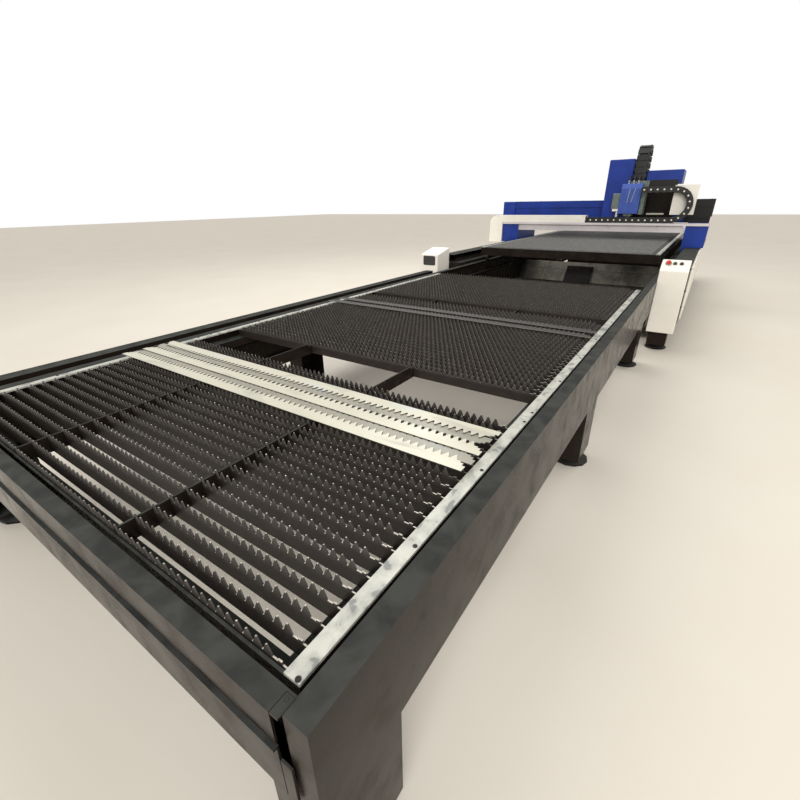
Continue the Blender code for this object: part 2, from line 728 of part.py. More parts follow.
def table_side(side):
    """Channel rail of the shuttle table. The left one carries a trough and an outer tube too."""
    if side > 0:
        outer = RAIL_OUTER
        outside = [(RAIL_OUTER, RAIL_TOP), (RAIL_OUTER, RAIL_BOTTOM)]
    else:
        outer = TABLE_LEFT_OUTER
        trough_outer = RAIL_OUTER + TROUGH_WIDTH
        outside = [(RAIL_OUTER, RAIL_TOP), (RAIL_OUTER, RAIL_TOP - TROUGH_DEPTH),
                   (trough_outer, RAIL_TOP - TROUGH_DEPTH), (trough_outer, RAIL_TOP),
                   (outer, RAIL_TOP), (outer, RAIL_BOTTOM)]
    beam = plate(sided(rail_inside() + outside, side), 0, TABLE_END, "Y")
    low_x, high_x = from_side(side, RAIL_INNER, outer)
    cap = box((low_x, 0, RAIL_BOTTOM), (high_x, END_PLATE, RAIL_TOP))
    weld(beam, cap)
    for start in (LEG_INSET, MIDDLE_LEG_AT, TABLE_END - LEG_WIDTH - LEG_INSET):
        weld(beam, table_leg(side, outer - LEG_INSET, start, RAIL_BOTTOM + RAIL_WALL / 2))
    return beam


def near_member():
    back = NEAR_FRONT + NEAR_DEPTH
    bottom = RAIL_TOP - NEAR_HEIGHT
    lip = RAIL_TOP - NEAR_LIP
    shelf = lip - NEAR_SLOT
    inside = NEAR_FRONT + NEAR_WALL
    section = [(NEAR_FRONT, lip), (NEAR_FRONT, RAIL_TOP), (back, RAIL_TOP), (back, bottom),
               (NEAR_FRONT, bottom), (NEAR_FRONT, shelf - NEAR_WALL), (NEAR_REACH, shelf - NEAR_WALL),
               (NEAR_REACH, shelf), (inside, shelf), (inside, bottom + NEAR_WALL),
               (back - NEAR_WALL, bottom + NEAR_WALL), (back - NEAR_WALL, RAIL_TOP - NEAR_WALL),
               (inside, RAIL_TOP - NEAR_WALL), (inside, lip)]
    half = RAIL_INNER - GAP
    member = plate(section, -half, half, "X")
    notch = box((half - NEAR_END_NOTCH, NEAR_REACH - OVERRUN, bottom - OVERRUN),
                (half + OVERRUN, back - NEAR_WALL, RAIL_TOP + OVERRUN))
    return cut(member, notch)


def cross_beam(start):
    half = RAIL_WEB - GAP
    beam = box((-half, start, RAIL_BOTTOM + RAIL_WALL + GAP),
               (half, start + CROSS_BEAM_DEPTH, RAIL_BOTTOM + RAIL_WALL + GAP + CROSS_BEAM_HEIGHT))
    return bevelled(beam, RAIL_WALL)


def far_beam():
    """The far cross beam carries two ears with the drive shaft's bearings."""
    beam = cross_beam(FAR_BEAM_AT)
    reach = SHAFT_AT + 2 * SHAFT_RADIUS
    for side in (-1, 1):
        middle = side * (RAIL_INNER - EAR_INSET)
        ear = box((middle - EAR_THICKNESS / 2, FAR_BEAM_AT + CROSS_BEAM_DEPTH - OVERRUN,
                   SHAFT_HEIGHT - 2 * SHAFT_RADIUS),
                  (middle + EAR_THICKNESS / 2, reach, SHAFT_HEIGHT + 2 * SHAFT_RADIUS))
        bore = cylinder((middle, SHAFT_AT, SHAFT_HEIGHT), bore_radius(SHAFT_RADIUS), 2 * EAR_THICKNESS, "X")
        weld(beam, cut(ear, bore))
    return beam


def sprocket(x):
    """Toothed wheel drawn as a flat outline with one tip and one root for each tooth."""
    outline = []
    for step in range(2 * SPROCKET_TEETH_COUNT):
        angle = math.pi * step / SPROCKET_TEETH_COUNT
        radius = SPROCKET_RADIUS if step % 2 == 0 else SPROCKET_RADIUS - SPROCKET_TOOTH
        outline.append((radius * math.cos(angle), radius * math.sin(angle)))
    return plate(outline, x - SPROCKET_WIDTH / 2, x + SPROCKET_WIDTH / 2, "X")


def drive_shaft():
    reach = RAIL_INNER + SPROCKET_SETBACK
    shaft = cylinder((0, 0, 0), SHAFT_RADIUS, 2 * reach, "X")
    return weld(shaft, sprocket(-reach), sprocket(reach))


def drive_motor():
    """Gear motor hung on the far beam, its hollow shaft round the drive shaft."""
    half = GEARBOX_SIDE / 2
    beam_back = FAR_BEAM_AT + CROSS_BEAM_DEPTH
    gearbox = bevelled(box((GEARBOX_AT - half, beam_back + GAP, SHAFT_HEIGHT - half),
                           (GEARBOX_AT + half, SHAFT_AT + half, SHAFT_HEIGHT + half)), SHELL_BEVEL)
    bore = cylinder((GEARBOX_AT, SHAFT_AT, SHAFT_HEIGHT), bore_radius(SHAFT_RADIUS), 2 * GEARBOX_SIDE, "X")
    motor_top = SHAFT_HEIGHT - half
    flange = cylinder((GEARBOX_AT, SHAFT_AT, motor_top - GEARBOX_FLANGE / 2),
                      MOTOR_FLANGE_RADIUS, GEARBOX_FLANGE + OVERRUN)
    motor = cylinder((GEARBOX_AT, SHAFT_AT, motor_top - GEARBOX_FLANGE - MOTOR_LENGTH / 2),
                     MOTOR_RADIUS, MOTOR_LENGTH + OVERRUN)
    return cut(weld(gearbox, flange, motor), bore)


def wheel_places(radius, floor):
    """Places of a pallet's four wheels, at the height where they roll on their rail."""
    x = PALLET_OUTER + WHEEL_STANDOFF + WHEEL_WIDTH / 2
    for end, y in (("near", WHEEL_INSET), ("far", PALLET_LENGTH - WHEEL_INSET)):
        for side_name, side in (("right", 1), ("left", -1)):
            yield end + "_" + side_name, side, (side * x, y, floor + radius + GAP)


def wheel(radius):
    half = WHEEL_WIDTH / 2
    profile = [(WHEEL_BORE, -half), (radius, -half), (radius, half), (WHEEL_BORE, half)]
    made = turned(profile)
    made.data.transform(Matrix.Rotation(math.pi / 2, 4, "Y"))
    return made


def pallet_frame(lift, start, radius, rail):
    """Welded pallet frame: a ladder of side and cross tubes, raised outer lips, end plates, wheel brackets."""
    end = start + PALLET_LENGTH
    bottom = PALLET_BOTTOM + lift
    inner = PALLET_OUTER - SIDE_TUBE_WIDTH
    top = SIDE_TUBE_TOP + lift
    lip_top = STRIP_BOTTOM - GAP + lift
    frame = box((-PALLET_OUTER, start, bottom), (PALLET_OUTER, end, top))
    step = (PALLET_LENGTH - CROSS_TUBE_WIDTH) / (CROSS_TUBE_COUNT - 1)
    windows = []
    for index in range(CROSS_TUBE_COUNT - 1):
        y = start + index * step + CROSS_TUBE_WIDTH
        windows.append(box((-inner, y, bottom - OVERRUN), (inner, y + step - CROSS_TUBE_WIDTH, top + OVERRUN)))
    cut(frame, heap(*windows))
    rim = box((-PALLET_OUTER, start, top - OVERRUN), (PALLET_OUTER, end, lip_top))
    hollow = box((STRIP_LIP - PALLET_OUTER, start + END_PLATE_THICKNESS, top - 2 * OVERRUN),
                 (PALLET_OUTER - STRIP_LIP, end - END_PLATE_THICKNESS, lip_top + OVERRUN))
    weld(frame, cut(rim, hollow))
    for _, side, (x, y, z) in wheel_places(radius, rail):
        plate_inner = PALLET_OUTER - BRACKET_THICKNESS
        low_x, high_x = from_side(side, plate_inner, PALLET_OUTER)
        bracket = box((low_x, start + y - BRACKET_WIDTH / 2, z - BRACKET_BELOW_PIN),
                      (high_x, start + y + BRACKET_WIDTH / 2, bottom + OVERRUN))
        reach = PALLET_OUTER + WHEEL_STANDOFF + WHEEL_WIDTH + PIN_HEAD
        root = PALLET_OUTER - BRACKET_THICKNESS / 2
        pin = cylinder((side * (root + reach) / 2, start + y, z), PIN_RADIUS, reach - root, "X")
        weld(frame, weld(bracket, pin))
    return frame


def strip(side, lift, start):
    low_x, high_x = from_side(side, PALLET_OUTER - STRIP_WIDTH, PALLET_OUTER)
    return box((low_x, start, STRIP_BOTTOM + lift), (high_x, start + PALLET_LENGTH, STRIP_TOP + lift))


def slat_bed(groups, supports_at, reach, lift, start):
    """Slats on edge, in groups, fused with the notched supports, which reach past them."""
    low = SLAT_BOTTOM + lift
    slats = []
    for first, count in groups:
        for index in range(count):
            y = start + first + index * SLAT_PITCH
            slats.append(box((-SLAT_HALF, y - SLAT_THICKNESS / 2, low),
                             (SLAT_HALF, y + SLAT_THICKNESS / 2, low + SLAT_HEIGHT)))
    supports = [box((x - SUPPORT_THICKNESS / 2, start + reach[0], low),
                    (x + SUPPORT_THICKNESS / 2, start + reach[1], low + SUPPORT_HEIGHT)) for x in supports_at]
    return weld(heap(*slats), heap(*supports))


def toothed_slat():
    """A new slat lying on its side, with its saw teeth along one edge."""
    teeth = int(2 * SLAT_HALF / TOOTH_PITCH)
    valley = SLAT_HEIGHT - TOOTH_HEIGHT
    left = -teeth * TOOTH_PITCH / 2
    outline = []
    for index in range(teeth):
        x = left + (index + 0.5) * TOOTH_PITCH
        outline.append((x, SLAT_HEIGHT))
        outline.append((x + TOOTH_PITCH / 2, valley))
    ends = SLAT_HALF + TONGUE
    right = [(SLAT_HALF, valley), (SLAT_HALF, TONGUE_HEIGHT), (ends, TONGUE_HEIGHT), (ends, 0)]
    other = [(-u, v) for u, v in reversed(right)]
    outline[-1] = right[0]
    return plate(outline + right[1:] + other, 0, LOOSE_THICKNESS, "Z")


def loose_slat(near, shift, layer, flipped):
    """A loose slat in its place in the heap. The flipped ones point their teeth at the near end."""
    made = toothed_slat()
    if flipped:
        made.data.transform(Matrix.Translation((0, SLAT_HEIGHT, 0)) @ Matrix.Rotation(math.pi, 4, "Z"))
    height = SLAT_TOP + GAP + layer * (LOOSE_THICKNESS + GAP)
    made.data.transform(Matrix.Translation((shift, near, height)))
    return made


def bed_leg(side, start, tops):
    """Box leg with its levelling foot. tops holds a start and a height for each step of its top."""
    low_x, high_x = from_side(side, BED_LEG_INNER, BED_LEG_OUTER)
    leg = foot((low_x + high_x) / 2, start + BED_LEG_WIDTH / 2)
    for step_start, top in tops:
        weld(leg, box((low_x, step_start, LEG_BOTTOM), (high_x, start + BED_LEG_WIDTH, top)))
    return leg


def bed_side(side, start, legs):
    """Side girder with its pallet rail, an open guard over the linear guide, legs and drawer tie."""
    outside = [(RAIL_OUTER, RAIL_TOP), (RAIL_OUTER, GIRDER_TOP), (BED_OUTER - GUARD_WALL, GIRDER_TOP),
               (BED_OUTER - GUARD_WALL, GUARD_TOP - GUARD_WALL), (GUARD_INNER, GUARD_TOP - GUARD_WALL),
               (GUARD_INNER, GUARD_TOP), (BED_OUTER, GUARD_TOP), (BED_OUTER, GIRDER_BOTTOM),
               (RAIL_WEB, GIRDER_BOTTOM)]
    girder = plate(sided(rail_inside()[3:] + outside, side), start, BED_END, "Y")
    web = [(RAIL_OUTER, RAIL_TOP), (RAIL_OUTER, RAIL_BOTTOM), (RAIL_WEB, RAIL_BOTTOM)]
    weld(girder, plate(sided(rail_inside()[3:] + web, side), TABLE_END + GAP, start + OVERRUN, "Y"))
    for leg in legs:
        weld(girder, leg)
    low_x, high_x = from_side(side, TIE_INNER, TIE_OUTER)
    tie_start = max(FRONT_LEG_AT, LEFT_FRONT_LEG_AT) + BED_LEG_WIDTH - OVERRUN
    return weld(girder, box((low_x, tie_start, TIE_BOTTOM), (high_x, BED_LEGS_AT[-1] + OVERRUN, TIE_TOP)))


def bed_near_beam():
    half = RAIL_WEB - GAP
    return bevelled(box((-half, NEAR_BEAM_AT, GIRDER_BOTTOM),
                        (half, NEAR_BEAM_AT + CROSS_BEAM_HEIGHT, NEAR_BEAM_TOP)), RAIL_WALL)


def bed_far_plate():
    """Channel across the far end, between the two pallet rails."""
    half = RAIL_INNER - GAP
    start = BED_END - FAR_PLATE
    web = BED_END - RAIL_WALL
    section = [(start, GIRDER_BOTTOM), (BED_END, GIRDER_BOTTOM), (BED_END, GIRDER_TOP), (start, GIRDER_TOP),
               (start, GIRDER_TOP - RAIL_WALL), (web, GIRDER_TOP - RAIL_WALL),
               (web, GIRDER_BOTTOM + RAIL_WALL), (start, GIRDER_BOTTOM + RAIL_WALL)]
    return plate(section, -half, half, "X")


def guide_rail(side):
    """Base strip with the linear rail and the rack standing on it."""
    low = GIRDER_TOP + GAP
    base = low + GUIDE_BASE
    waist = (GUIDE_TOP + base) / 2
    section = [(GUIDE_BASE_INNER, low), (GUIDE_BASE_OUTER, low), (GUIDE_BASE_OUTER, base), (RACK_OUTER, base),
               (RACK_OUTER, RACK_TOP), (RACK_INNER, RACK_TOP), (RACK_INNER, base), (GUIDE_OUTER, base),
               (GUIDE_OUTER - GUIDE_WAIST, waist), (GUIDE_OUTER, GUIDE_TOP), (GUIDE_INNER, GUIDE_TOP),
               (GUIDE_INNER + GUIDE_WAIST, waist), (GUIDE_INNER, base), (GUIDE_BASE_INNER, base)]
    return plate(sided(section, side), COVER_START, BED_END - END_PLATE, "Y")


def side_cover(side):
    low_x, high_x = from_side(side, BED_OUTER + GAP, BED_OUTER + GAP + COVER_THICKNESS)
    return bevelled(box((low_x, COVER_START, COVER_BOTTOM), (high_x, BED_END - END_PLATE, COVER_TOP)), COVER_BEVEL)


def column(low_x, high_x, front, depth, shoulder, rise, panel_depth):
    """Sheet column with a sloping panel on top."""
    section = [(front, COLUMN_BOTTOM), (front, shoulder), (front + panel_depth, shoulder + rise),
               (front + depth, shoulder + rise), (front + depth, COLUMN_BOTTOM)]
    return bevelled(plate(section, low_x, high_x, "X"), COLUMN_BEVEL, angle_deg=20)


def panel_frame(x):
    """Place and direction of a button on the control column's panel: Z points out of the panel."""
    slope = math.atan2(COLUMN_RISE, COLUMN_PANEL_DEPTH)
    along = BUTTON_UP_THE_PANEL
    place = (x, COLUMN_FRONT + along * math.cos(slope), COLUMN_SHOULDER + along * math.sin(slope))
    return Matrix.Translation(place) @ Matrix.Rotation(slope, 4, "X")


def control_column():
    made = column(RAIL_OUTER + GAP, COLUMN_OUTER, COLUMN_FRONT, COLUMN_DEPTH, COLUMN_SHOULDER,
                  COLUMN_RISE, COLUMN_PANEL_DEPTH)
    for x in BUTTON_AT:
        bore = cylinder((0, 0, 0), BUTTON_BORE, 2 * BUTTON_BORE_DEPTH)
        bore.data.transform(panel_frame(x))
        cut(made, bore)
    return made


def screen_column():
    """The left column, with a shallow rounded recess for its window."""
    made = column(-SCREEN_COLUMN_OUTER, -SCREEN_COLUMN_INNER, SCREEN_COLUMN_FRONT, SCREEN_COLUMN_DEPTH,
                  SCREEN_COLUMN_SHOULDER, SCREEN_COLUMN_RISE, SCREEN_PANEL_DEPTH)
    middle = -(SCREEN_COLUMN_OUTER + SCREEN_COLUMN_INNER) / 2
    top = SCREEN_COLUMN_SHOULDER - WINDOW_DROP
    radius = WINDOW_RADIUS
    outline = []
    for quarter, (x, z) in enumerate(((1, 1), (-1, 1), (-1, -1), (1, -1))):
        corner_x = middle + x * (WINDOW_WIDTH / 2 - radius)
        corner_z = top - WINDOW_HEIGHT / 2 + z * (WINDOW_HEIGHT / 2 - radius)
        for step in range(WINDOW_STEPS_COUNT + 1):
            angle = math.pi / 2 * (quarter + step / WINDOW_STEPS_COUNT)
            outline.append((corner_x + radius * math.cos(angle), corner_z + radius * math.sin(angle)))
    recess = plate(outline, SCREEN_COLUMN_FRONT - OVERRUN, SCREEN_COLUMN_FRONT + WINDOW_DEPTH, "Y")
    return cut(made, recess)


def button(head, height):
    """Push button about its own axis: stem below the panel, head above it by its travel."""
    profile = [(0, -BUTTON_STEM_LENGTH), (BUTTON_STEM, -BUTTON_STEM_LENGTH), (BUTTON_STEM, BUTTON_STANDOFF),
               (head, BUTTON_STANDOFF), (head, BUTTON_STANDOFF + height * BUTTON_RIM_SHARE),
               (head * BUTTON_CROWN_SHARE, BUTTON_STANDOFF + height), (0, BUTTON_STANDOFF + height)]
    return turned(profile)


def chip_divider():
    """Folded sheet across the bed that throws the chips into the two drawers."""
    half = RAIL_WEB - GAP
    wall = DIVIDER_WALL
    section = [(DIVIDER_AT - DIVIDER_FOOT, DIVIDER_BOTTOM), (DIVIDER_AT - DIVIDER_RIDGE, DIVIDER_TOP),
               (DIVIDER_AT + DIVIDER_RIDGE, DIVIDER_TOP), (DIVIDER_AT + DIVIDER_FOOT, DIVIDER_BOTTOM),
               (DIVIDER_AT + DIVIDER_FOOT - wall * DIVIDER_FOLD_SHARE, DIVIDER_BOTTOM),
               (DIVIDER_AT + DIVIDER_RIDGE - wall / 2, DIVIDER_TOP - wall),
               (DIVIDER_AT - DIVIDER_RIDGE + wall / 2, DIVIDER_TOP - wall),
               (DIVIDER_AT - DIVIDER_FOOT + wall * DIVIDER_FOLD_SHARE, DIVIDER_BOTTOM)]
    return plate(section, -half, half, "X")


def divider_gusset():
    """Wedge that stiffens the divider's near slope. Its back lies against the slope."""
    run = DIVIDER_FOOT - DIVIDER_RIDGE
    rise = DIVIDER_TOP - DIVIDER_BOTTOM
    back_high = DIVIDER_AT - DIVIDER_FOOT + run * GUSSET_RISE / rise
    low = DIVIDER_BOTTOM
    front = DIVIDER_AT - DIVIDER_FOOT - GUSSET_FRONT
    clear = 2 * GAP
    section = [(DIVIDER_AT - DIVIDER_FOOT - clear, low), (back_high - clear, low + GUSSET_RISE),
               (back_high - clear - GUSSET_FRONT, low + GUSSET_RISE), (front, low)]
    return plate(section, GUSSET_LEFT, GUSSET_RIGHT, "X")


def drawer(ends):
    """Open chip drawer on the ties, with a bar handle at its right end."""
    low = TIE_TOP + GAP
    tray = box((DRAWER_LEFT, ends[0], low), (DRAWER_RIGHT, ends[1], DRAWER_TOP))
    hollow = box((DRAWER_LEFT + DRAWER_WALL, ends[0] + DRAWER_WALL, low + DRAWER_WALL),
                 (DRAWER_RIGHT - DRAWER_WALL, ends[1] - DRAWER_WALL, DRAWER_TOP + OVERRUN))
    cut(tray, hollow)
    middle = (ends[0] + ends[1]) / 2
    height = (low + DRAWER_TOP) / 2
    start = middle - HANDLE_LENGTH / 2
    end = middle + HANDLE_LENGTH / 2
    outer = DRAWER_RIGHT + HANDLE_REACH
    inner = DRAWER_RIGHT - DRAWER_WALL / 2
    outline = [(inner, start), (outer, start), (outer, end), (inner, end), (inner, end - HANDLE_BAR),
               (outer - HANDLE_BAR, end - HANDLE_BAR), (outer - HANDLE_BAR, start + HANDLE_BAR),
               (inner, start + HANDLE_BAR)]
    return weld(tray, plate(outline, height - HANDLE_BAR / 2, height + HANDLE_BAR / 2, "Z"))


def gantry_end(side):
    """End block and, below it, the shoe that straddles the linear rail inside the guard."""
    skirt = SHOE_BOTTOM
    section = [(BLOCK_INNER, TRAY_BOTTOM - GAP), (BLOCK_INNER, SHOE_TOP - NECK_WALL),
               (SHOE_INNER, SHOE_TOP - NECK_WALL), (SHOE_INNER, skirt), (GUIDE_INNER - GAP, skirt),
               (GUIDE_INNER - GAP, GUIDE_TOP + GAP), (GUIDE_OUTER + GAP, GUIDE_TOP + GAP),
               (GUIDE_OUTER + GAP, skirt), (SHOE_OUTER, skirt), (SHOE_OUTER, SHOE_TOP),
               (BLOCK_INNER + NECK_WALL, SHOE_TOP), (BLOCK_INNER + NECK_WALL, BLOCK_BOTTOM),
               (BLOCK_OUTER, BLOCK_BOTTOM), (BLOCK_OUTER, TRAY_BOTTOM - GAP)]
    return plate(sided(section, side), BLOCK_FRONT, BLOCK_BACK, "Y")


def gantry_beam():
    section = [(BEAM_FRONT, TRAY_BOTTOM)]
    for middle in BEAM_RAIL_AT:
        low = middle - BEAM_RAIL_HEIGHT / 2
        high = middle + BEAM_RAIL_HEIGHT / 2
        reach = BEAM_FRONT - BEAM_RAIL_REACH
        section += [(BEAM_FRONT, low), (reach, low), (reach, high), (BEAM_FRONT, high)]
    section += [(BEAM_FRONT, BEAM_TOP), (BEAM_FRONT + BEAM_CAP_INSET, BEAM_TOP),
                (BEAM_FRONT + BEAM_CAP_INSET, BEAM_TOP + BEAM_CAP_HEIGHT),
                (BEAM_BACK - BEAM_CAP_INSET, BEAM_TOP + BEAM_CAP_HEIGHT),
                (BEAM_BACK - BEAM_CAP_INSET, BEAM_TOP), (BEAM_BACK, BEAM_TOP), (BEAM_BACK, TRAY_BOTTOM)]
    return plate(section, -BLOCK_OUTER, BLOCK_OUTER, "X")


def gantry_tray():
    """Chain tray with its front lip, the apron under it with stiffeners, and the end tab."""
    back = TRAY_FRONT + TRAY_DEPTH
    lip = TRAY_FRONT + TRAY_LIP_WALL
    section = [(TRAY_FRONT, TRAY_TOP - TRAY_LIP), (TRAY_FRONT, TRAY_TOP), (back, TRAY_TOP),
               (back, TRAY_BOTTOM), (lip, TRAY_BOTTOM), (lip, TRAY_TOP - TRAY_LIP)]
    tray = plate(section, -BLOCK_OUTER, TRAY_RIGHT, "X")
    apron_back = APRON_AT + APRON_DEPTH
    sheet = [(APRON_AT, TRAY_BOTTOM + OVERRUN), (APRON_AT, APRON_BOTTOM), (apron_back, APRON_BOTTOM),
             (apron_back, APRON_BOTTOM + APRON_WALL), (APRON_AT + APRON_WALL, APRON_BOTTOM + APRON_WALL),
             (APRON_AT + APRON_WALL, TRAY_BOTTOM + OVERRUN)]
    apron = plate(sheet, -APRON_HALF, APRON_HALF, "X")
    corner = [(APRON_HALF - APRON_TAPER, TRAY_BOTTOM - OVERRUN), (APRON_HALF + OVERRUN, TRAY_BOTTOM - OVERRUN),
              (APRON_HALF + OVERRUN, (TRAY_BOTTOM + APRON_BOTTOM) / 2)]
    cut(apron, plate(corner, APRON_AT - OVERRUN, apron_back + OVERRUN, "Y"))
    ribs = []
    for x in STIFFENER_AT:
        rib = [(APRON_AT + APRON_WALL / 2, TRAY_BOTTOM + OVERRUN),
               (APRON_AT - STIFFENER_DEPTH, TRAY_BOTTOM + OVERRUN),
               (APRON_AT + APRON_WALL / 2, APRON_BOTTOM + APRON_WALL)]
        ribs.append(plate(rib, x - STIFFENER_THICKNESS / 2, x + STIFFENER_THICKNESS / 2, "X"))
    tab = box((TRAY_RIGHT - TAB_WIDTH, back - TAB_DEPTH, TRAY_TOP - OVERRUN), (TRAY_RIGHT, back, TRAY_TOP + TAB_HEIGHT))
    return weld(tray, apron, heap(*ribs), tab)


def gantry_hood():
    """White cover over the tray's left half. It bends down round the gantry's left end."""
    centre_x = -HOOD_OUTER + HOOD_RADIUS
    centre_z = HOOD_TOP - HOOD_RADIUS
    low = TRAY_TOP + GAP
    inner = -TRAY_RIGHT
    outline = [(HOOD_RIGHT, low), (HOOD_RIGHT, HOOD_TOP)]
    for step in range(HOOD_STEPS_COUNT + 1):
        angle = math.pi / 2 * (1 + step / HOOD_STEPS_COUNT)
        outline.append((centre_x + HOOD_RADIUS * math.cos(angle), centre_z + HOOD_RADIUS * math.sin(angle)))
    outline += [(-HOOD_OUTER, GUARD_TOP), (inner, GUARD_TOP), (inner, low)]
    hood = plate(outline, TRAY_FRONT, TRAY_FRONT + TRAY_DEPTH, "Y")
    wall = HOOD_WALL
    room = box((-HOOD_OUTER + HOOD_RADIUS / 2, TRAY_FRONT + wall, low - OVERRUN),
               (HOOD_RIGHT + OVERRUN, TRAY_FRONT + TRAY_DEPTH - wall, HOOD_TOP - wall))
    drop = box((-HOOD_OUTER + wall, TRAY_FRONT + wall, GUARD_TOP + wall),
               (inner - wall, TRAY_FRONT + TRAY_DEPTH + OVERRUN, centre_z))
    return cut(hood, room, drop)


def chain_outline(points):
    """Side view of a cable chain: a band along a centre line, waisted between two links.

    points holds a place and a left-hand normal for each end of each link.
    """
    left = []
    right = []
    half = LINK_HEIGHT / 2
    for index, (place, normal) in enumerate(points):
        reach = half if index % 2 == 0 else half - LINK_NOTCH
        left.append(place + normal * reach)
        right.append(place - normal * reach)
    return [tuple(point) for point in left + right[::-1]]


def u_path(lower_length, upper_length, bend, step):
    """Centre line of a U that lies on its side: along +X, round the bend, and back along -X."""
    arc = math.pi * bend
    total = lower_length + arc + upper_length
    count = int(total / step) + 1
    points = []
    for index in range(count + 1):
        run = total * index / count
        if run < lower_length:
            points.append((Vector((run - lower_length, 0)), Vector((0, 1))))
        elif run < lower_length + arc:
            angle = (run - lower_length) / bend
            toward = Vector((-math.sin(angle), math.cos(angle)))
            points.append((Vector((0, bend)) - toward * bend, toward))
        else:
            points.append((Vector((lower_length + arc - run, 2 * bend)), Vector((0, -1))))
    return points


def tray_chain():
    height = TRAY_TOP + GAP + LINK_HEIGHT / 2
    path = u_path(CHAIN_BEND_AT - CHAIN_LEFT_END, CHAIN_BEND_AT - CHAIN_MOVING_END, CHAIN_BEND, LINK_PITCH / 2)
    placed = [(place + Vector((CHAIN_BEND_AT, height)), normal) for place, normal in path]
    return plate(chain_outline(placed), CHAIN_FRONT, CHAIN_FRONT + LINK_WIDTH, "Y")


def head_chain():
    """Chain that rises behind the head, turns over and comes down on the carriage."""
    front_leg = RISER_TOP - RISER_BEND - RISER_HEIGHT / 2 - RISER_BOTTOM
    back_leg = RISER_TOP - RISER_BEND - RISER_HEIGHT / 2 - SADDLE_TOP - GAP
    scale = RISER_HEIGHT / LINK_HEIGHT
    left = []
    right = []
    for index, (place, normal) in enumerate(u_path(front_leg, back_leg, RISER_BEND, LINK_PITCH / 2)):
        reach = (LINK_HEIGHT / 2 if index % 2 == 0 else LINK_HEIGHT / 2 - LINK_NOTCH) * scale
        y = RISER_FRONT + RISER_HEIGHT / 2 + place.y
        z = RISER_BOTTOM + front_leg + place.x
        left.append((y + normal.y * reach, z + normal.x * reach))
        right.append((y - normal.y * reach, z - normal.x * reach))
    return plate(left + right[::-1], RISER_LEFT, RISER_LEFT + RISER_WIDTH, "X")


def saddle():
    """Carriage plate on the beam's rails, its shelf over the beam and the head's vertical rail."""
    back = BEAM_FRONT - BEAM_RAIL_REACH - GAP
    section = [(SADDLE_FRONT, SADDLE_BOTTOM), (SADDLE_FRONT, SADDLE_TOP), (SADDLE_BACK, SADDLE_TOP),
               (SADDLE_BACK, SADDLE_TOP - SADDLE_PLATE), (back, SADDLE_TOP - SADDLE_PLATE), (back, SADDLE_BOTTOM)]
    made = plate(section, SADDLE_LEFT, SADDLE_RIGHT, "X")
    rail = box((HEAD_RAIL_LEFT, SLIDE_PLATE_BACK + GAP, SADDLE_BOTTOM),
               (HEAD_RAIL_RIGHT, SADDLE_FRONT + OVERRUN, SADDLE_TOP))
    return weld(made, rail)


def guide_plate():
    """White folded plate behind the chain's bend, on the carriage's right edge."""
    front = CHAIN_FRONT + LINK_WIDTH + 2 * GAP
    wall = GUIDE_PLATE_WALL
    outline = [(GUIDE_PLATE_LEFT, front), (GUIDE_PLATE_RIGHT, front), (GUIDE_PLATE_RIGHT, front + wall),
               (GUIDE_PLATE_LEFT + wall, front + wall), (GUIDE_PLATE_LEFT + wall, SADDLE_FRONT - GAP),
               (GUIDE_PLATE_LEFT, SADDLE_FRONT - GAP)]
    return plate(outline, GUIDE_PLATE_BOTTOM, GUIDE_PLATE_TOP, "Z")


def tall_cover():
    step = SADDLE_TOP + GAP
    section = [(TALL_COVER_FRONT, TALL_COVER_BOTTOM), (TALL_COVER_FRONT, TALL_COVER_TOP),
               (TALL_COVER_BACK, TALL_COVER_TOP), (TALL_COVER_BACK, step), (SADDLE_FRONT - GAP, step),
               (SADDLE_FRONT - GAP, TALL_COVER_BOTTOM)]
    return bevelled(plate(section, SADDLE_LEFT, TALL_COVER_RIGHT, "X"), SHELL_BEVEL)


def motor_box():
    inset = BOX_BASE_INSET
    lid = bevelled(box((BOX_LEFT, BOX_FRONT, BOX_BOTTOM), (BOX_RIGHT, BOX_BACK, BOX_TOP)), SHELL_BEVEL)
    base = box((BOX_LEFT + inset, BOX_FRONT + 2 * inset, SADDLE_TOP + GAP),
               (BOX_RIGHT - 2 * inset, BOX_BACK - inset, BOX_BOTTOM + OVERRUN))
    return weld(lid, base)


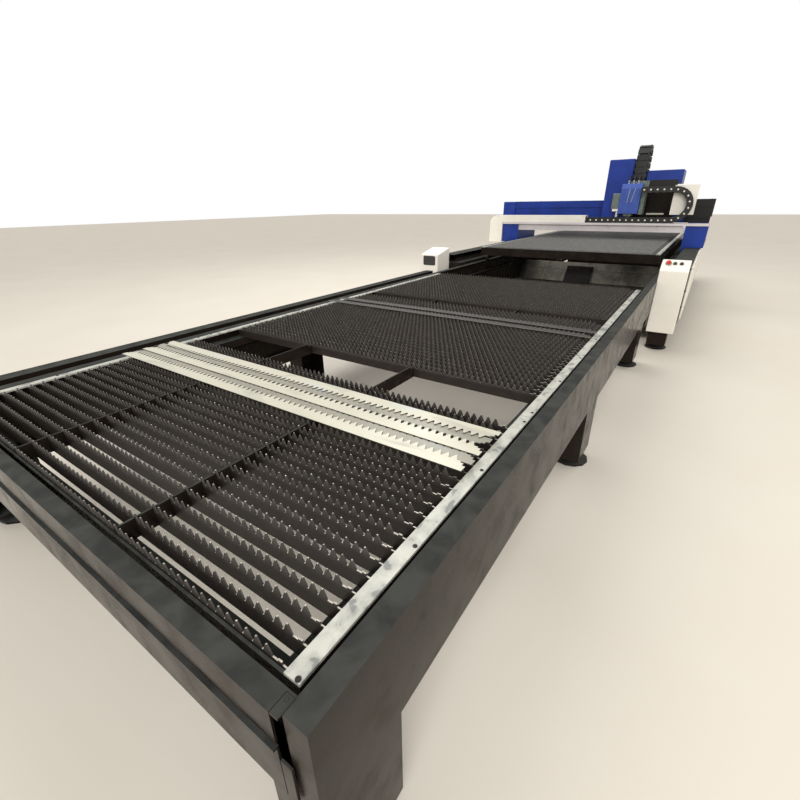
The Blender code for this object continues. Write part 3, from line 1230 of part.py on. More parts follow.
def head_cover():
    """Folded cover, open behind and below, with a row of cable glands on top."""
    front = HEAD_COVER_FRONT
    chamfer = HEAD_COVER_CHAMFER
    section = [(front, HEAD_COVER_BOTTOM), (front, HEAD_COVER_TOP - 2 * chamfer), (front + chamfer, HEAD_COVER_TOP),
               (HEAD_COVER_BACK, HEAD_COVER_TOP), (HEAD_COVER_BACK, HEAD_COVER_BOTTOM)]
    cover = plate(section, HEAD_COVER_LEFT, HEAD_COVER_RIGHT, "X")
    wall = HEAD_COVER_WALL
    room = [(front + wall, HEAD_COVER_BOTTOM - OVERRUN), (front + wall, HEAD_COVER_TOP - 2 * chamfer - wall / 2),
            (front + chamfer + wall / 2, HEAD_COVER_TOP - wall), (HEAD_COVER_BACK + OVERRUN, HEAD_COVER_TOP - wall),
            (HEAD_COVER_BACK + OVERRUN, HEAD_COVER_BOTTOM - OVERRUN)]
    cut(cover, plate(room, HEAD_COVER_LEFT + wall, HEAD_COVER_RIGHT - wall, "X"))
    middle = (HEAD_COVER_LEFT + HEAD_COVER_RIGHT) / 2
    glands = []
    for index in range(GLAND_COUNT):
        x = middle + (index - (GLAND_COUNT - 1) / 2) * GLAND_SPACING
        y = (HEAD_COVER_FRONT + chamfer + HEAD_COVER_BACK) / 2
        height = GLAND_HEIGHT + wall / 2
        glands.append(cylinder((x, y, HEAD_COVER_TOP - wall / 2 + height / 2), GLAND_RADIUS, height, segments=12))
    return weld(cover, heap(*glands))


def cutting_head():
    """Slide plate with the head's body and nozzle in front, and the grey side plate beside them."""
    plate_front = HEAD_COVER_BACK + GAP
    back = box((SLIDE_PLATE_LEFT, plate_front, SLIDE_PLATE_BOTTOM),
               (SLIDE_PLATE_RIGHT, SLIDE_PLATE_BACK, SLIDE_PLATE_TOP))
    half = HEAD_BODY_HALF
    body = bevelled(box((HEAD_AXIS_X - half, HEAD_AXIS_Y - half, HEAD_BODY_BOTTOM),
                        (HEAD_AXIS_X + half, plate_front + OVERRUN, HEAD_BODY_TOP)), SHELL_BEVEL)
    side_plate = box((SIDE_PLATE_LEFT, SIDE_PLATE_FRONT, SLIDE_PLATE_BOTTOM),
                     (SLIDE_PLATE_RIGHT, plate_front + OVERRUN, SIDE_PLATE_TOP))
    collar = HEAD_BODY_BOTTOM - NOZZLE_COLLAR_HEIGHT
    cone = collar - NOZZLE_CONE_HEIGHT
    profile = [(0, HEAD_BODY_BOTTOM + OVERRUN), (NOZZLE_COLLAR_RADIUS, HEAD_BODY_BOTTOM + OVERRUN),
               (NOZZLE_COLLAR_RADIUS, collar), (2 * NOZZLE_TIP_RADIUS, cone),
               (NOZZLE_TIP_RADIUS, cone - NOZZLE_TIP_HEIGHT), (0, cone - NOZZLE_TIP_HEIGHT)]
    nozzle = turned(profile[::-1])
    nozzle.data.transform(Matrix.Translation((HEAD_AXIS_X, HEAD_AXIS_Y, 0)))
    return weld(back, body, side_plate, nozzle)


def sensor_box():
    return bevelled(box((SENSOR_LEFT, SENSOR_FRONT, SENSOR_BOTTOM),
                        (HEAD_COVER_LEFT - GAP, SENSOR_BACK, SENSOR_TOP)), SHELL_BEVEL)


def build_table():
    name_piece(table_side(1), "table_side_right", "satin black enamel")
    name_piece(table_side(-1), "table_side_left", "satin black enamel")
    name_piece(near_member(), "table_near_member", "satin black enamel")
    middle = MIDDLE_LEG_AT + (LEG_WIDTH - CROSS_BEAM_DEPTH) / 2
    name_piece(cross_beam(middle), "table_middle_beam", "satin black enamel")
    name_piece(far_beam(), "table_far_beam", "satin black enamel")
    name_piece(drive_motor(), "table_drive_motor", "grey enamel")
    at = (0, SHAFT_AT, SHAFT_HEIGHT)
    add_body("drive_shaft", at)
    name_piece(drive_shaft(), "table_drive_shaft", "ground steel", "drive_shaft", at)


def build_pallet(which, lift, start, radius, rail):
    body = which + "_pallet"
    add_body(body, (0, start, PALLET_BOTTOM + lift))
    name_piece(pallet_frame(lift, start, radius, rail), body + "_frame", "satin black enamel", body)
    name_piece(strip(1, lift, start), which + "_strip_right", "galvanised steel", body)
    name_piece(strip(-1, lift, start), which + "_strip_left", "galvanised steel", body)
    for where, _, (x, y, z) in wheel_places(radius, rail):
        at = (x, start + y, z)
        node = which + "_wheel_" + where
        add_body(node + "_axle", at)
        name_piece(wheel(radius), node, "polyurethane", node + "_axle", at)


def build_bed():
    column_back = COLUMN_FRONT + COLUMN_DEPTH
    others = [[(start, GIRDER_BOTTOM + OVERRUN)] for start in BED_LEGS_AT]
    stepped = [(FRONT_LEG_AT, COLUMN_BOTTOM - GAP), (column_back + OVERRUN, GIRDER_BOTTOM + OVERRUN)]
    right = [bed_leg(1, start, tops) for start, tops in zip((FRONT_LEG_AT,) + BED_LEGS_AT, [stepped] + others)]
    name_piece(bed_side(1, column_back + GAP, right), "bed_side_right", "satin black enamel")
    plain = [(LEFT_FRONT_LEG_AT, GIRDER_BOTTOM + OVERRUN)]
    left = [bed_leg(-1, start, tops)
            for start, tops in zip((LEFT_FRONT_LEG_AT,) + BED_LEGS_AT, [plain] + others)]
    screen_back = SCREEN_COLUMN_FRONT + SCREEN_COLUMN_DEPTH
    name_piece(bed_side(-1, screen_back + GAP, left), "bed_side_left", "satin black enamel")
    name_piece(bed_near_beam(), "bed_near_beam", "satin black enamel")
    name_piece(bed_far_plate(), "bed_far_plate", "satin black enamel")
    name_piece(guide_rail(1), "guide_rail_right", "ground steel")
    name_piece(guide_rail(-1), "guide_rail_left", "ground steel")
    name_piece(side_cover(1), "side_cover_right", "white powder coat")
    name_piece(side_cover(-1), "side_cover_left", "white powder coat")
    name_piece(control_column(), "control_column", "white powder coat")
    name_piece(screen_column(), "screen_column", "white powder coat")
    name_piece(chip_divider(), "chip_divider", "stainless sheet")
    name_piece(divider_gusset(), "divider_gusset", "satin black enamel")
    for node, ends in (("chip_drawer_near", DRAWER_NEAR), ("chip_drawer_far", DRAWER_FAR)):
        add_body(node + "_slide", (DRAWER_RIGHT, ends[0], TIE_TOP))
        name_piece(drawer(ends), node, "stainless sheet", node + "_slide")
    looks = (("emergency_stop", STOP_HEAD, STOP_HEAD_HEIGHT, "red plastic"),
             ("start_button", BUTTON_HEAD, BUTTON_HEAD_HEIGHT, "green plastic"),
             ("pause_button", BUTTON_HEAD, BUTTON_HEAD_HEIGHT, "grey enamel"))
    for x, (node, head, height, surface) in zip(BUTTON_AT, looks):
        frame = panel_frame(x)
        at = frame.to_translation()
        add_body(node + "_press", at)
        made = name_piece(button(head, height), node, surface, node + "_press", at)
        made.rotation_euler = frame.to_euler()


def build_gantry():
    add_body("gantry", (0, TRAY_FRONT, BLOCK_BOTTOM))
    name_piece(gantry_beam(), "gantry_beam", "blue powder coat", "gantry")
    name_piece(gantry_end(1), "gantry_end_right", "blue powder coat", "gantry")
    name_piece(gantry_end(-1), "gantry_end_left", "blue powder coat", "gantry")
    name_piece(gantry_tray(), "gantry_tray", "white powder coat", "gantry")
    name_piece(gantry_hood(), "gantry_hood", "white powder coat", "gantry")
    name_piece(tray_chain(), "tray_chain", "black nylon", "gantry")
    add_body("carriage", (SADDLE_LEFT, SADDLE_FRONT, SADDLE_BOTTOM))
    name_piece(saddle(), "carriage_saddle", "satin black enamel", "carriage")
    name_piece(guide_plate(), "chain_guide_plate", "white powder coat", "carriage")
    name_piece(tall_cover(), "tall_cover", "blue powder coat", "carriage")
    name_piece(motor_box(), "motor_box", "blue powder coat", "carriage")
    name_piece(head_chain(), "head_chain", "black nylon", "carriage")
    add_body("head", (HEAD_AXIS_X, HEAD_AXIS_Y, HEAD_BODY_BOTTOM))
    name_piece(head_cover(), "head_cover", "blue powder coat", "head")
    name_piece(cutting_head(), "cutting_head", "grey enamel", "head")
    name_piece(sensor_box(), "sensor_box", "grey enamel", "head")


def main():
    add_body("machine", (SHIFT_X, SHIFT_Y, 0))
    build_table()
    build_pallet("lower", 0, PALLET_NEAR, WHEEL_RADIUS, LEDGE_TOP)
    for name, groups, reach in (("lower_slat_bed", NEAR_GROUPS, NEAR_SUPPORTS),
                                ("lower_slat_bed_far", FAR_GROUPS, FAR_SUPPORTS)):
        name_piece(slat_bed(groups, LOWER_SUPPORTS, reach, 0, PALLET_NEAR), name, "mill steel", "lower_pallet")
    for index, place in enumerate(LOOSE_SLATS):
        name_piece(loose_slat(*place), "loose_slat_" + str(index + 1), "new galvanised steel", "lower_pallet")
    build_pallet("upper", LEVEL_STEP, PALLET_NEAR + PALLET_TRAVEL, UPPER_WHEEL_RADIUS, RAIL_TOP)
    name_piece(slat_bed(UPPER_GROUPS, UPPER_SUPPORTS, UPPER_SUPPORTS_REACH, LEVEL_STEP, PALLET_NEAR + PALLET_TRAVEL),
               "upper_slat_bed", "mill steel", "upper_pallet")
    build_bed()
    build_gantry()


clear_scene()
COLLECTION = bpy.data.collections.new("fiber_laser_cutter")
bpy.context.scene.collection.children.link(COLLECTION)
BODIES = {}
main()
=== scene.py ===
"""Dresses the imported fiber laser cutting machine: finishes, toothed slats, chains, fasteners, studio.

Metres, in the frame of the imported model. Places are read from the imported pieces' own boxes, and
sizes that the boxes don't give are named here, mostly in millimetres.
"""
import json
import math
import random

import bmesh
import bpy
from mathutils import Matrix, Vector


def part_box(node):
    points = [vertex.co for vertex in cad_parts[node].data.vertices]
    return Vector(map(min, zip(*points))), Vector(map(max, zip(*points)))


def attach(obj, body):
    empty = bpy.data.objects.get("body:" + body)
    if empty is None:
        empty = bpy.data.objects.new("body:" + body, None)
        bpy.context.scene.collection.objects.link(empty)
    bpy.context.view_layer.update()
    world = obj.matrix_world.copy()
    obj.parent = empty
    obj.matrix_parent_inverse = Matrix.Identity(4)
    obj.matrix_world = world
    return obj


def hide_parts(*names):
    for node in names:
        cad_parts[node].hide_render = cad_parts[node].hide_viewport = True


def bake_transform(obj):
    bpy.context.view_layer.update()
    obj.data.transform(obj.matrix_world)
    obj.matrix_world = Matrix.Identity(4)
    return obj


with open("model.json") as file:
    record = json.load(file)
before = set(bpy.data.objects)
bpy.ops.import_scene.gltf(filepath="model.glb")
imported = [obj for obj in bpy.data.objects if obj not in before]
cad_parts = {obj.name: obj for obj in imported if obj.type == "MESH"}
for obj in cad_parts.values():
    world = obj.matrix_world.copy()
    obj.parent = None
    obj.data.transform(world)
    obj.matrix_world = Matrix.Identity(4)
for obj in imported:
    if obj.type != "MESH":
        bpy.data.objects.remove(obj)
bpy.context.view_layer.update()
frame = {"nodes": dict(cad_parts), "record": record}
CHANCE = random.Random(7)
MM = 0.001

# Slats: saw teeth along the top, and two low shelves at each end, by the side strips
TOOTH_PITCH = 24 * MM
TOOTH_HEIGHT = 20 * MM
TOOTH_FLAT = 3 * MM
BED_SHELVES = ((12 * MM, 38 * MM), (9 * MM, 44 * MM))
LOOSE_SHELVES = ((9.5 * MM, 23 * MM), (10 * MM, 34 * MM))
SLAT_THICKNESS = 3 * MM
SLAT_PITCH = 40 * MM
FIRST_SLAT = 10 * MM
LOWER_SLATS = ((FIRST_SLAT, 23), (1.175, 28), (2.415, 26))
UPPER_SLATS = ((FIRST_SLAT, 85),)
SLAT_WEAR = 1.2 * MM
SLAT_LEAN = 1.5 * MM
LOWER_SUPPORTS = (-0.280, 0.310)
UPPER_SUPPORTS = (0.310,)
SUPPORT_THICKNESS = 6 * MM
SUPPORT_HEIGHT = 50 * MM
LOW_SUPPORT = 40 * MM
STEP_DOWN = 1.150
NOTCH_WIDTH = 4.4 * MM
NOTCH_DEPTH = 20 * MM
LOOSE_THICKNESS = 2.5 * MM
LOOSE_FLIPPED = (False, False, False, True, True)
SPARE_SLATS = ((1.955, -0.006, False), (2.052, 0.004, False))

# Strip screws, from the pallet's near end: as photographed, and then in the same rhythm
STRIP_SCREWS = (0.005, 0.318, 0.633, 0.946, 1.019, 1.333, 1.646, 1.960, 2.033, 2.347, 2.660, 2.974, 3.047,
                3.360, 3.445)
STRIP_JOINTS = (0.983, 1.997, 3.011)

# Cable chains
LINK_HEIGHT = 62 * MM
RISER_LINK_HEIGHT = 44 * MM
LINK_PITCH = 66 * MM
PIN_RADIUS = 9 * MM
MOVING_END_IN = 0.430

# The gantry beam is blue up to this place, and black beyond it
BLUE_END = 0.900

# Places on the machine: across from the pallets' middle, along from the table's near end, and up
NOZZLE_ACROSS, NOZZLE_ALONG = 0.323, 5.982
LIGHT_BAR = ((0.505, 6.078, 1.034), (0.690, 6.095, 1.052))
KNOBS_ALONG = 4.045
KNOB_HEIGHTS = (0.690, 0.518, 0.387)
RAIL_SCREWS_ACROSS = 1.067
RAIL_SCREWS_COUNT = 69
DIVIDER_FOOT = (0, 5.930, 0.216)
DIVIDER_RIDGE = (0, 6.115, 0.440)
DIVIDER_SEAMS = (-0.62, -0.26, 0.37, 0.50)
LEVEL_SEAM_SHARE = 0.62
LEVEL_SEAM_REACH = 0.90

# Sloping panel of the control column, and how far up its slope the buttons stand
PANEL_RISE, PANEL_RUN = 74 * MM, 100 * MM
BUTTONS_UP_SLOPE = 85 * MM

# Pane in the left column, below its sloping top
PANE_DOWN = 64 * MM
PANE_HALF, PANE_TALL, PANE_CORNER = 70 * MM, 92 * MM, 15 * MM

# Camera, found from the lines of the photographed machine
CAMERA_AT = (1.2975, -4.380, 1.209)
CAMERA_TURN = (65.14, 0.84, 34.27)
CAMERA_LENS_MM = 19.17

# Studio: half the floor's width, and each lamp's name, place, aim, size and watts
FLOOR_HALF = 40.0
LAMPS = (("roof_light", (-2.5, 1.0, 6.0), (0, 0, 0.5), 5.0, 200),
         ("side_light", (3.5, -8.5, 5.0), (0, 0.5, 0.6), 4.0, 340))

CENTRE = (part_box("lower_strip_left")[0].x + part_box("lower_strip_right")[1].x) / 2
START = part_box("table_side_right")[0].y


def at(across, along, height):
    """A place measured from the pallets' middle, the table's near end and the floor."""
    return Vector((CENTRE + across, START + along, height))


# Finishes, one function for each

def linear(code):
    """Linear colour of an sRGB hex code."""
    parts = [int(code[i:i + 2], 16) / 255 for i in (1, 3, 5)]
    return tuple(p / 12.92 if p <= 0.04045 else ((p + 0.055) / 1.055) ** 2.4 for p in parts) + (1.0,)


def node(tree, kind, plugs=None, stops=(), **settings):
    """Adds one node with its settings, its inputs' values, colours or links, and its colour stops."""
    made = tree.nodes.new("ShaderNode" + kind)
    for name, value in settings.items():
        setattr(made, name, value)
    for plug, value in (plugs or {}).items():
        if isinstance(value, bpy.types.NodeSocket):
            tree.links.new(value, made.inputs[plug])
        else:
            made.inputs[plug].default_value = linear(value) if isinstance(value, str) else value
    for index, (position, colour) in enumerate(stops):
        ramp = made.color_ramp.elements
        stop = ramp[index] if index < 2 else ramp.new(position)
        stop.position = position
        stop.color = linear(colour)
    return made


def surface(name, colour, roughness, metallic=0.0, **values):
    """A new material with its plain values set on the shader's own sockets."""
    made = bpy.data.materials.new(name)
    made.use_nodes = True
    shader = made.node_tree.nodes["Principled BSDF"]
    shader.inputs["Base Color"].default_value = linear(colour)
    shader.inputs["Roughness"].default_value = roughness
    shader.inputs["Metallic"].default_value = metallic
    for plug, value in values.items():
        shader.inputs[plug.replace("_", " ")].default_value = value
    return made, made.node_tree, shader


def clouds(tree, across_mm, stops, stretch=(1, 1, 1), detail=3.0, distortion=0.0):
    """Soft patches about across_mm wide, coloured by the stops."""
    place = node(tree, "TexCoord").outputs["Object"]
    drawn = node(tree, "Mapping", {"Vector": place, "Scale": stretch}).outputs["Vector"]
    cloud = node(tree, "TexNoise", {"Vector": drawn, "Scale": 1000 / across_mm, "Detail": detail,
                                    "Distortion": distortion})
    return node(tree, "ValToRGB", {"Fac": cloud.outputs["Fac"]}, stops).outputs["Color"]


def mottle(tree, shader, across_mm, dark, pale, **values):
    """Colours the surface in soft patches about across_mm wide, from dark to pale."""
    patches = clouds(tree, across_mm, ((0.3, dark), (0.7, pale)), **values)
    tree.links.new(patches, shader.inputs["Base Color"])


def facing_up(tree, start, end):
    """0 on walls and undersides, 1 on faces that look up, where dust and hands reach and where the black
    enamel's painted top light goes.
    """
    normal = node(tree, "NewGeometry").outputs["Normal"]
    height = node(tree, "SeparateXYZ", {"Vector": normal}).outputs["Z"]
    return node(tree, "MapRange", {"Value": height, "From Min": start, "From Max": end}).outputs["Result"]


def relief(tree, shader, height, depth_mm):
    """Raises the surface by a pattern, depth_mm from its darkest to its palest."""
    bump = node(tree, "Bump", {"Height": height, "Distance": depth_mm * MM, "Strength": 1.0})
    tree.links.new(bump.outputs["Normal"], shader.inputs["Normal"])


def orange_peel(tree, shader, across_mm=2.5, depth_mm=0.05):
    """The fine dimples of a sprayed or baked coat."""
    relief(tree, shader, clouds(tree, across_mm, ((0.3, "#000000"), (0.7, "#ffffff")), detail=1), depth_mm)


def black_enamel():
    """Mild steel sprayed with satin black enamel: brown-black walls, smudges on top, and a paler grey on
    top that is partly dust and partly painted top light.
    """
    made, tree, shader = surface("sprayed_black_enamel", "#100d0b", 0.6, Specular_IOR_Level=0.1)
    # Faces that look up get a paler grey: partly dust, partly painted top light, as the tops look lit from
    # above.
    dust = clouds(tree, 60, ((0.35, "#30312f"), (0.62, "#3f403d")), detail=4, distortion=0.4)
    wall = clouds(tree, 160, ((0.3, "#1b1613"), (0.7, "#28211c")))
    up = facing_up(tree, 0.75, 0.98)
    shades = node(tree, "Mix", {0: up, 6: wall, 7: dust}, data_type="RGBA").outputs[2]
    tree.links.new(shades, shader.inputs["Base Color"])
    smears = clouds(tree, 80, ((0.3, "#747474"), (0.55, "#8c8c8c"), (0.75, "#a6a6a6")), detail=4)
    dull = node(tree, "Mix", {0: up, 6: smears, 7: "#e8e8e8"}, data_type="RGBA").outputs[2]
    tree.links.new(dull, shader.inputs["Roughness"])
    orange_peel(tree, shader, 3.0, 0.03)
    return made


def slat_steel(name, foot, tip):
    """Hot-rolled slat steel: darker towards the foot as painted shade between the close-set slats, and
    paler towards the tips as painted light, where sheets also rub off the scale.
    """
    made, tree, shader = surface(name, tip, 0.5, 0.3)
    place = node(tree, "TexCoord").outputs["Generated"]
    height = node(tree, "SeparateXYZ", {"Vector": place}).outputs["Z"]
    # Painted shade and light: the colour runs from the dark foot colour low on the slat to the tip colour
    # high up.
    shade_and_scrape = node(tree, "MapRange", {"Value": height, "From Min": 0.50, "From Max": 0.86}).outputs[0]
    scale = clouds(tree, 45, ((0.3, "#6f6f6f"), (0.52, "#b4b4b4"), (0.75, "#ffffff")),
                   stretch=(1, 1, 1.6), detail=5)
    worn = node(tree, "Mix", {0: shade_and_scrape, 6: foot, 7: tip}, data_type="RGBA").outputs[2]
    dull = node(tree, "Mix", {0: 0.45, 6: worn, 7: scale}, data_type="RGBA", blend_type="MULTIPLY")
    tree.links.new(dull.outputs[2], shader.inputs["Base Color"])
    grains = clouds(tree, 3, ((0.45, "#000000"), (0.7, "#ffffff")), detail=2)
    relief(tree, shader, grains, 0.08)
    return made


def cut_edge():
    """Freshly laser-cut steel edge: narrow, bright and slightly streaked, rubbed by sheets at the tips; on
    the bed slats' level flats it is partly a painted highlight.
    """
    made, tree, shader = surface("laser_cut_edge", "#aaa49a", 0.42, 0.6)
    mottle(tree, shader, 4, "#8b857b", "#c2bcb1")
    return made


def new_zinc(name, rubbed, pale, cool):
    """Fresh galvanised slat: creamy pale zinc, matt, with faint yellow passivation and grey rubs."""
    made, tree, shader = surface(name, pale, 0.6, 0.1)
    patches = clouds(tree, 75, ((0.28, rubbed), (0.45, pale), (0.62, pale), (0.8, cool)),
                     stretch=(0.35, 1, 1), detail=4, distortion=0.5)
    tree.links.new(patches, shader.inputs["Base Color"])
    smears = clouds(tree, 35, ((0.3, "#6a6a6a"), (0.7, "#909090")), stretch=(0.3, 1, 1))
    tree.links.new(smears, shader.inputs["Roughness"])
    return made


def new_zinc_edge():
    """Sheared edge of the galvanised slat: the same zinc, darker along its bare steel core."""
    made, tree, shader = surface("sheared_zinc_edge", "#5f5d57", 0.6, 0.2)
    mottle(tree, shader, 4, "#3c3a36", "#5d5b54")
    return made


def stained_zinc():
    """Galvanised side strip left in the open: grey zinc with round darker water stains."""
    made, tree, shader = surface("water_stained_zinc", "#a9a9a0", 0.6, 0.1)
    stains = clouds(tree, 34, ((0.36, "#777975"), (0.42, "#a3a39a"), (0.6, "#b9b9ae")),
                    stretch=(1.2, 0.8, 1), detail=3, distortion=0.3)
    tree.links.new(stains, shader.inputs["Base Color"])
    smears = clouds(tree, 40, ((0.35, "#909090"), (0.65, "#b0b0b0")))
    tree.links.new(smears, shader.inputs["Roughness"])
    return made


def spangled_sheet():
    """Hot-dip galvanised sheet: zinc crystals about 14 mm across under a beige film of oil and dust."""
    made, tree, shader = surface("spangled_galvanised_sheet", "#5f5c52", 0.45, 0.4)
    place = node(tree, "TexCoord").outputs["Object"]
    crystals = node(tree, "TexVoronoi", {"Vector": place, "Scale": 1000 / 14})
    shades = node(tree, "ValToRGB", {"Fac": crystals.outputs["Color"]},
                  ((0.2, "#565349"), (0.8, "#7b766b"))).outputs["Color"]
    film = clouds(tree, 160, ((0.35, "#413e38"), (0.6, "#857f70")), detail=5, distortion=0.5)
    filmed = node(tree, "Mix", {0: 0.5, 6: shades, 7: film}, data_type="RGBA").outputs[2]
    tree.links.new(filmed, shader.inputs["Base Color"])
    return made


def white_powder():
    """Warm white polyester powder coat, baked: even colour, fine orange peel, soft highlights."""
    made, tree, shader = surface("white_powder_coat", "#f3ede1", 0.42)
    mottle(tree, shader, 220, "#ece5d8", "#f5f0e5", detail=4)
    orange_peel(tree, shader)
    return made


def cool_white_powder():
    """The same white coat on the tray and its apron, made cooler and a little grey as painted shade."""
    made, tree, shader = surface("grey_white_powder_coat", "#d6cfd0", 0.42)
    mottle(tree, shader, 260, "#cbc4c6", "#dcd6d5", detail=4)
    orange_peel(tree, shader)
    return made


def blue_powder():
    """Ultramarine polyester powder coat: deep, even, with soft highlights along its folds."""
    made, tree, shader = surface("blue_powder_coat", "#10318a", 0.4, Specular_IOR_Level=0.35)
    mottle(tree, shader, 180, "#0f2d7e", "#143795")
    orange_peel(tree, shader)
    return made


def beam_paint():
    """The gantry beam: blue powder coat on its left three quarters, black on top and to the right."""
    made, tree, shader = surface("blue_and_black_beam_coat", "#10318a", 0.42, Specular_IOR_Level=0.3)
    place = node(tree, "TexCoord").outputs["Object"]
    across = node(tree, "SeparateXYZ", {"Vector": place}).outputs["X"]
    right = node(tree, "Math", {0: across, 1: CENTRE + BLUE_END}, operation="GREATER_THAN").outputs[0]
    shades = clouds(tree, 180, ((0.3, "#0f2d7e"), (0.7, "#143795")))
    up = facing_up(tree, 0.8, 0.95)
    top = node(tree, "Mix", {0: up, 6: shades, 7: "#171615"}, data_type="RGBA").outputs[2]
    parted = node(tree, "Mix", {0: right, 6: top, 7: "#171615"}, data_type="RGBA").outputs[2]
    tree.links.new(parted, shader.inputs["Base Color"])
    orange_peel(tree, shader)
    return made


def pale_blue_powder():
    """The head cover's lighter blue powder coat."""
    made, tree, shader = surface("violet_blue_powder_coat", "#3450a2", 0.4)
    mottle(tree, shader, 90, "#2f4a9a", "#3a58ab")
    orange_peel(tree, shader)
    return made


def moulded_nylon():
    """Glass-filled black nylon, injection moulded: dull black with a faint grey bloom."""
    made, tree, shader = surface("moulded_black_nylon", "#191919", 0.5)
    bloom = clouds(tree, 25, ((0.35, "#151515"), (0.7, "#222221")), detail=4)
    tree.links.new(bloom, shader.inputs["Base Color"])
    orange_peel(tree, shader, 1.6, 0.06)
    return made


def ground_steel():
    """Induction-hardened steel, ground along its length: bright with fine lines."""
    made, tree, shader = surface("ground_steel", "#a9a8a5", 0.28, 1.0)
    mottle(tree, shader, 2.5, "#8f8e8b", "#bcbbb8", stretch=(1, 0.05, 1))
    return made


def grey_enamel():
    """Grey-green machine enamel, brushed flat by use."""
    made, tree, shader = surface("grey_green_enamel", "#667069", 0.45, 0.1)
    mottle(tree, shader, 40, "#59625c", "#77817a")
    orange_peel(tree, shader, 2.0, 0.03)
    return made


def cast_polyurethane():
    """Amber-brown cast polyurethane tyre, scuffed dull by the rail."""
    made, tree, shader = surface("cast_polyurethane", "#5a4527", 0.55)
    scuffs = clouds(tree, 8, ((0.35, "#3f3120"), (0.7, "#6d5633")), detail=4)
    tree.links.new(scuffs, shader.inputs["Base Color"])
    return made


def moulded_plastic(name, colour, deep):
    """Glossy moulded button plastic, with a slight unevenness in its shine."""
    made, tree, shader = surface(name, colour, 0.3)
    mottle(tree, shader, 12, deep, colour)
    return made


def plated_screw():
    """Zinc-plated screw steel: grey, satin, darker in its socket."""
    made, tree, shader = surface("zinc_plated_screw", "#85857f", 0.38, 0.9)
    mottle(tree, shader, 5, "#6d6c66", "#9b9a93")
    return made


def black_screw():
    """Black-oxide socket screw: near black with an oily shine."""
    made, tree, shader = surface("black_oxide_screw", "#232221", 0.35, 0.5)
    mottle(tree, shader, 5, "#1a1918", "#2f2d2b")
    return made


def turned_copper():
    """Turned copper nozzle, warm and lightly tarnished by heat."""
    made, tree, shader = surface("turned_copper", "#b8703f", 0.3, 1.0)
    mottle(tree, shader, 6, "#8f5230", "#cf8650")
    return made


def screen_window():
    """Dark acrylic window over the screen, polished, with faint dust."""
    made, tree, shader = surface("dark_acrylic_window", "#16181b", 0.12, Coat_Weight=0.6,
                                 Coat_Roughness=0.05)
    mottle(tree, shader, 30, "#131518", "#1e2125")
    return made


def painted_floor():
    """Pale epoxy workshop floor, faintly mottled."""
    made, tree, shader = surface("pale_epoxy_floor", "#dad3c6", 0.6)
    mottle(tree, shader, 900, "#d8d0c3", "#dcd5c8")
    return made


BLACK = black_enamel()
# Slat steels, each with its foot colour, darkened as painted shade, and its tip colour, paled as painted
# light.
SLAT = slat_steel("mill_scale_slat", "#342d28", "#5f5a55")
CLEAN_SLAT = slat_steel("bare_mill_scale_slat", "#383634", "#a3a3a0")
OLD_SLAT = slat_steel("sooted_mill_scale", "#231f1d", "#322e2b")
EDGE = cut_edge()
ZINC_NEW = new_zinc("new_galvanised_strip", "#a5a394", "#c4c1ae", "#c3c6c6")
# A darker copy of the new zinc, as painted shade on the lower-layer loose slats.
ZINC_SHADED = new_zinc("oily_galvanised_strip", "#6f6d62", "#8d8a7b", "#8b8e8d")
ZINC_EDGE = new_zinc_edge()
ZINC_STAINED = stained_zinc()
SHEET = spangled_sheet()
WHITE = white_powder()
COOL_WHITE = cool_white_powder()
BLUE = blue_powder()
PALE_BLUE = pale_blue_powder()
BEAM = beam_paint()
NYLON = moulded_nylon()
STEEL = ground_steel()
GREY = grey_enamel()
TYRE = cast_polyurethane()
RED = moulded_plastic("red_moulded_plastic", "#c8281e", "#b02018")
GREEN = moulded_plastic("green_moulded_plastic", "#1d5236", "#17452d")
DARK_RED = moulded_plastic("dark_red_moulded_plastic", "#4a2224", "#3d1c1e")
CREAM = moulded_plastic("cream_moulded_plastic", "#efe9d6", "#e2dcc8")
SCREW = plated_screw()
DARK_SCREW = black_screw()
COPPER = turned_copper()
WINDOW = screen_window()

FINISH_OF = {
    "satin_black": BLACK, "galvanised": ZINC_STAINED, "new_galvanised": ZINC_NEW, "mill_steel": SLAT,
    "white_powder": WHITE, "blue_powder": BLUE, "black_nylon": NYLON, "ground_steel": STEEL,
    "stainless": SHEET, "red_plastic": RED, "green_plastic": GREEN, "grey_enamel": GREY,
    "polyurethane": TYRE,
}
FINISH_OF_NODE = {"gantry_tray": COOL_WHITE, "head_cover": PALE_BLUE, "gantry_beam": BEAM,
                  "guide_rail_left": BLACK, "guide_rail_right": BLACK}


# Shapes that the pieces are made of

def mm(*pairs):
    """Points of a profile or an outline, from millimetres to metres."""
    return [(first * MM, second * MM) for first, second in pairs]


def extrude(shape, near, far, material=0):
    """Adds the solid between two like outlines. Returns its faces: the two ends, then the sides."""
    near = [shape.verts.new(point) for point in near]
    far = [shape.verts.new(point) for point in far]
    faces = [shape.faces.new(near), shape.faces.new(far[::-1])]
    for index in range(len(near)):
        after = (index + 1) % len(near)
        faces.append(shape.faces.new((near[after], near[index], far[index], far[after])))
    for face in faces:
        face.material_index = material
    return faces


def prism(shape, outline, start, end, axis="Y", material=0):
    """Adds a solid whose outline lies across the axis and runs from start to end."""
    place = {"X": lambda u, v, w: (w, u, v), "Y": lambda u, v, w: (u, w, v),
             "Z": lambda u, v, w: (u, v, w)}[axis]
    extrude(shape, [place(u, v, start) for u, v in outline], [place(u, v, end) for u, v in outline],
            material)


